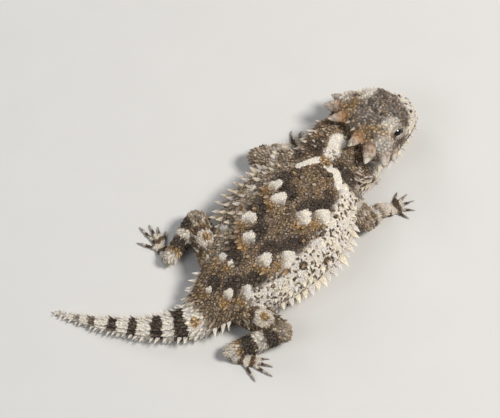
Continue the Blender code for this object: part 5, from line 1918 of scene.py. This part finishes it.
class LIZARD_OT_eyes(bpy.types.Operator):
    """Make the wet eyes and the beaded rims of their lids"""

    bl_idname = "lizard.eyes"
    bl_label = "Eyes"

    def execute(self, context):
        looks = context.scene.lizard_looks
        wet = eye_material(looks)
        coat = scaly_material("lid_scales", looks)
        for sign, side_name in ((1, "left"), (-1, "right")):
            self.eyeball(sign, side_name, wet)
            self.lids(sign, side_name, coat)
        return {"FINISHED"}

    def eyeball(self, sign, side_name, material):
        soup = Soup()
        centre, front, ahead = from_eye(((0, 0, 0), (0.15, 1, 0), (1, 0, 0)), sign)
        way = unit(front - centre)
        other = unit(np.cross(way, ahead - centre))
        across = np.cross(other, way)
        count, sides = 26, 32
        turns = np.linspace(0.03, math.pi - 0.03, count)
        soup.add_rings([
            circle(centre + way * EYE_RADIUS * math.cos(a), across, other, EYE_RADIUS * math.sin(a), sides)
            for a in turns
        ])
        mesh = soup.mesh("eye")
        share = np.repeat(1 - turns / math.pi, sides)
        blank = np.zeros((count * sides, 4))
        write_marks(mesh, blank, columns(share, share), blank[:, :2] + 0.5)
        eye = dress("eye_" + side_name + "_wet", mesh, material, sharp=None)
        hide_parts("eye_" + side_name)

    def lids(self, sign, side_name, material):
        """Rows of bead scales round the opening."""
        rim = Spines()
        # Each row: reach past the opening, size, how many, and height over the eyeball
        rings = ((0.1, 0.15, 44, 0.24), (0.4, 0.2, 34, 0.46), (0.8, 0.27, 28, LID + 0.04))
        for ring, (reach, size, count, high) in enumerate(rings):
            surface = EYE_RADIUS + high
            for k in range(count):
                a = 2 * math.pi * (k + 0.5 * ring) / count
                along = (SLIT_HALF + reach) * math.cos(a)
                up = (SLIT_OPEN + reach) * math.sin(a) * abs(math.sin(a)) ** 0.25 + SLIT_SLANT * along
                out = math.sqrt(max(surface**2 - along**2 - up**2, 0.5))
                root, centre = from_eye(((along, out, up), (0, 0, 0)), sign)
                way = unit(root - centre)
                pale = (0.85, 0.4, 0.25)[ring]
                rim.add(root - way * size * 0.5, way, size * 1.6, size * 2.3, size * 2.3,
                        head_turn((1, 0, 0)), (0.0, pale, 0.1, 0.6), 0.5, 0.5)
        dress("lid_beads_" + side_name, rim.mesh("lid_beads", BEAD), material)


class LIZARD_OT_claws(bpy.types.Operator):
    """Make the twenty claws"""

    bl_idname = "lizard.claws"
    bl_label = "Claws"

    def execute(self, context):
        looks = context.scene.lizard_looks
        material, shader, start, place = new_material("claw_horn")
        streak = noise_value(start, place, 1500.0, 5.0)
        wire(shader, "Base Color", streak.stepped(0.3, 0.75).mix(looks.claw, looks.horn_grey))
        wire(shader, "Roughness", (0.25 + streak * 0.3).clamped(0.2, 0.7))
        for limb in PAWS:
            soup = Soup()
            for root, way, length in toes_of(limb):
                side = np.cross(UP, way)
                start_at = root + way * (length * 0.86)
                rings = []
                for k in range(12):
                    share = k / 11
                    radius = 0.33 * (1 - share) ** 0.8 + 0.03
                    arch = 0.52 + 0.16 * math.sin(math.pi * share) - 0.34 * share
                    middle = start_at + way * (CLAW_LONG * 1.05 + length * 0.04) * share + UP * arch
                    rings.append(circle(middle, side, UP, radius * 0.8, 12, radius))
                soup.add_rings(above_floor(rings, 0.02))
            dress("claws_" + limb, soup.mesh("claws"), material, sharp=None)
        return {"FINISHED"}


AZIMUTH, ELEVATION = math.radians(-50.7), math.radians(65.0)
# Where the picture's middle lies on the plane through the body rows' origin, to the right and up
PICTURE_MIDDLE = (-5.95, 7.84)


class LIZARD_OT_stage(bpy.types.Operator):
    """Lay the floor, and set the lamps and the camera"""

    bl_idname = "lizard.stage"
    bl_label = "Stage"

    def execute(self, context):
        looks, sizes = context.scene.lizard_looks, context.scene.lizard_sizes
        self.floor(looks)
        self.camera(context, sizes)
        self.lamps(context)
        return {"FINISHED"}

    def floor(self, looks):
        size = 3.0
        mesh = bpy.data.meshes.new("studio_floor")
        corners = [(-size, -size, 0), (size, -size, 0), (size, size, 0), (-size, size, 0)]
        mesh.from_pydata(corners, [], [(0, 1, 2, 3)])
        mesh.materials.append(floor_material(looks))
        new_object("studio_floor", mesh)

    def camera(self, context, sizes):
        right = level_way(AZIMUTH)
        ahead = np.cross(UP, right)
        look = ahead * math.cos(ELEVATION) - UP * math.sin(ELEVATION)
        up = ahead * math.sin(ELEVATION) + UP * math.cos(ELEVATION)
        middle = to_metres(right * PICTURE_MIDDLE[0] + up * PICTURE_MIDDLE[1])
        data = bpy.data.cameras.new("photo_view")
        data.sensor_fit = "HORIZONTAL"
        data.lens = data.sensor_width * sizes.distance / sizes.view_wide
        data.clip_start = 0.01
        camera = new_object("photo_view", data)
        camera.location = Vector(middle - look * sizes.distance)
        camera.rotation_euler = Vector(look).to_track_quat("-Z", "Y").to_euler()
        context.scene.camera = camera

    def lamps(self, context):
        # Each lamp: name, place, size, power and colour
        lamps = (
            ("key", (0.35, -0.45, 0.75), 0.30, 8.6, (1.0, 0.97, 0.92)),
            ("fill", (-0.6, 0.25, 0.6), 0.6, 1.8, (0.92, 0.96, 1.0)),
            ("back", (0.2, 0.8, 0.5), 0.5, 2.0, (1.0, 1.0, 1.0)),
        )
        for name, place, size, power, colour in lamps:
            data = bpy.data.lights.new(name, "AREA")
            data.shape = "DISK"
            data.size = size
            data.energy = power
            data.color = colour
            lamp = new_object(name, data)
            lamp.location = place
            lamp.rotation_euler = (-Vector(place)).to_track_quat("-Z", "Y").to_euler()
        world = bpy.data.worlds.new("studio")
        world.use_nodes = True
        world.node_tree.nodes["Background"].inputs["Color"].default_value = (0.9, 0.93, 1.0, 1)
        world.node_tree.nodes["Background"].inputs["Strength"].default_value = 0.2
        context.scene.world = world
        context.scene.view_settings.view_transform = "Standard"


OPERATORS = (
    LIZARD_OT_stage, LIZARD_OT_skin, LIZARD_OT_spines, LIZARD_OT_scales, LIZARD_OT_horns, LIZARD_OT_eyes,
    LIZARD_OT_claws,
)


class LIZARD_PT_panel(bpy.types.Panel):
    """The lizard's operators, sizes and colours"""

    bl_label = "Horned lizard"
    bl_idname = "LIZARD_PT_panel"
    bl_space_type = "VIEW_3D"
    bl_region_type = "UI"
    bl_category = "Lizard"

    def draw(self, context):
        for operator in OPERATORS:
            self.layout.operator(operator.bl_idname)
        for group in (context.scene.lizard_sizes, context.scene.lizard_looks):
            for name in group.bl_rna.properties.keys():
                if name not in ("rna_type", "name"):
                    self.layout.prop(group, name)


CLASSES = (LizardLooks, LizardSizes, *OPERATORS, LIZARD_PT_panel)


def register():
    for kind in CLASSES:
        bpy.utils.register_class(kind)
    bpy.types.Scene.lizard_looks = bpy.props.PointerProperty(type=LizardLooks)
    bpy.types.Scene.lizard_sizes = bpy.props.PointerProperty(type=LizardSizes)


def unregister():
    del bpy.types.Scene.lizard_looks
    del bpy.types.Scene.lizard_sizes
    for kind in reversed(CLASSES):
        bpy.utils.unregister_class(kind)


def main():
    register()
    bpy.ops.lizard.stage()
    bpy.ops.lizard.skin()
    bpy.ops.lizard.spines()
    bpy.ops.lizard.scales()
    bpy.ops.lizard.horns()
    bpy.ops.lizard.eyes()
    bpy.ops.lizard.claws()


if __name__ == "__main__":
    main()
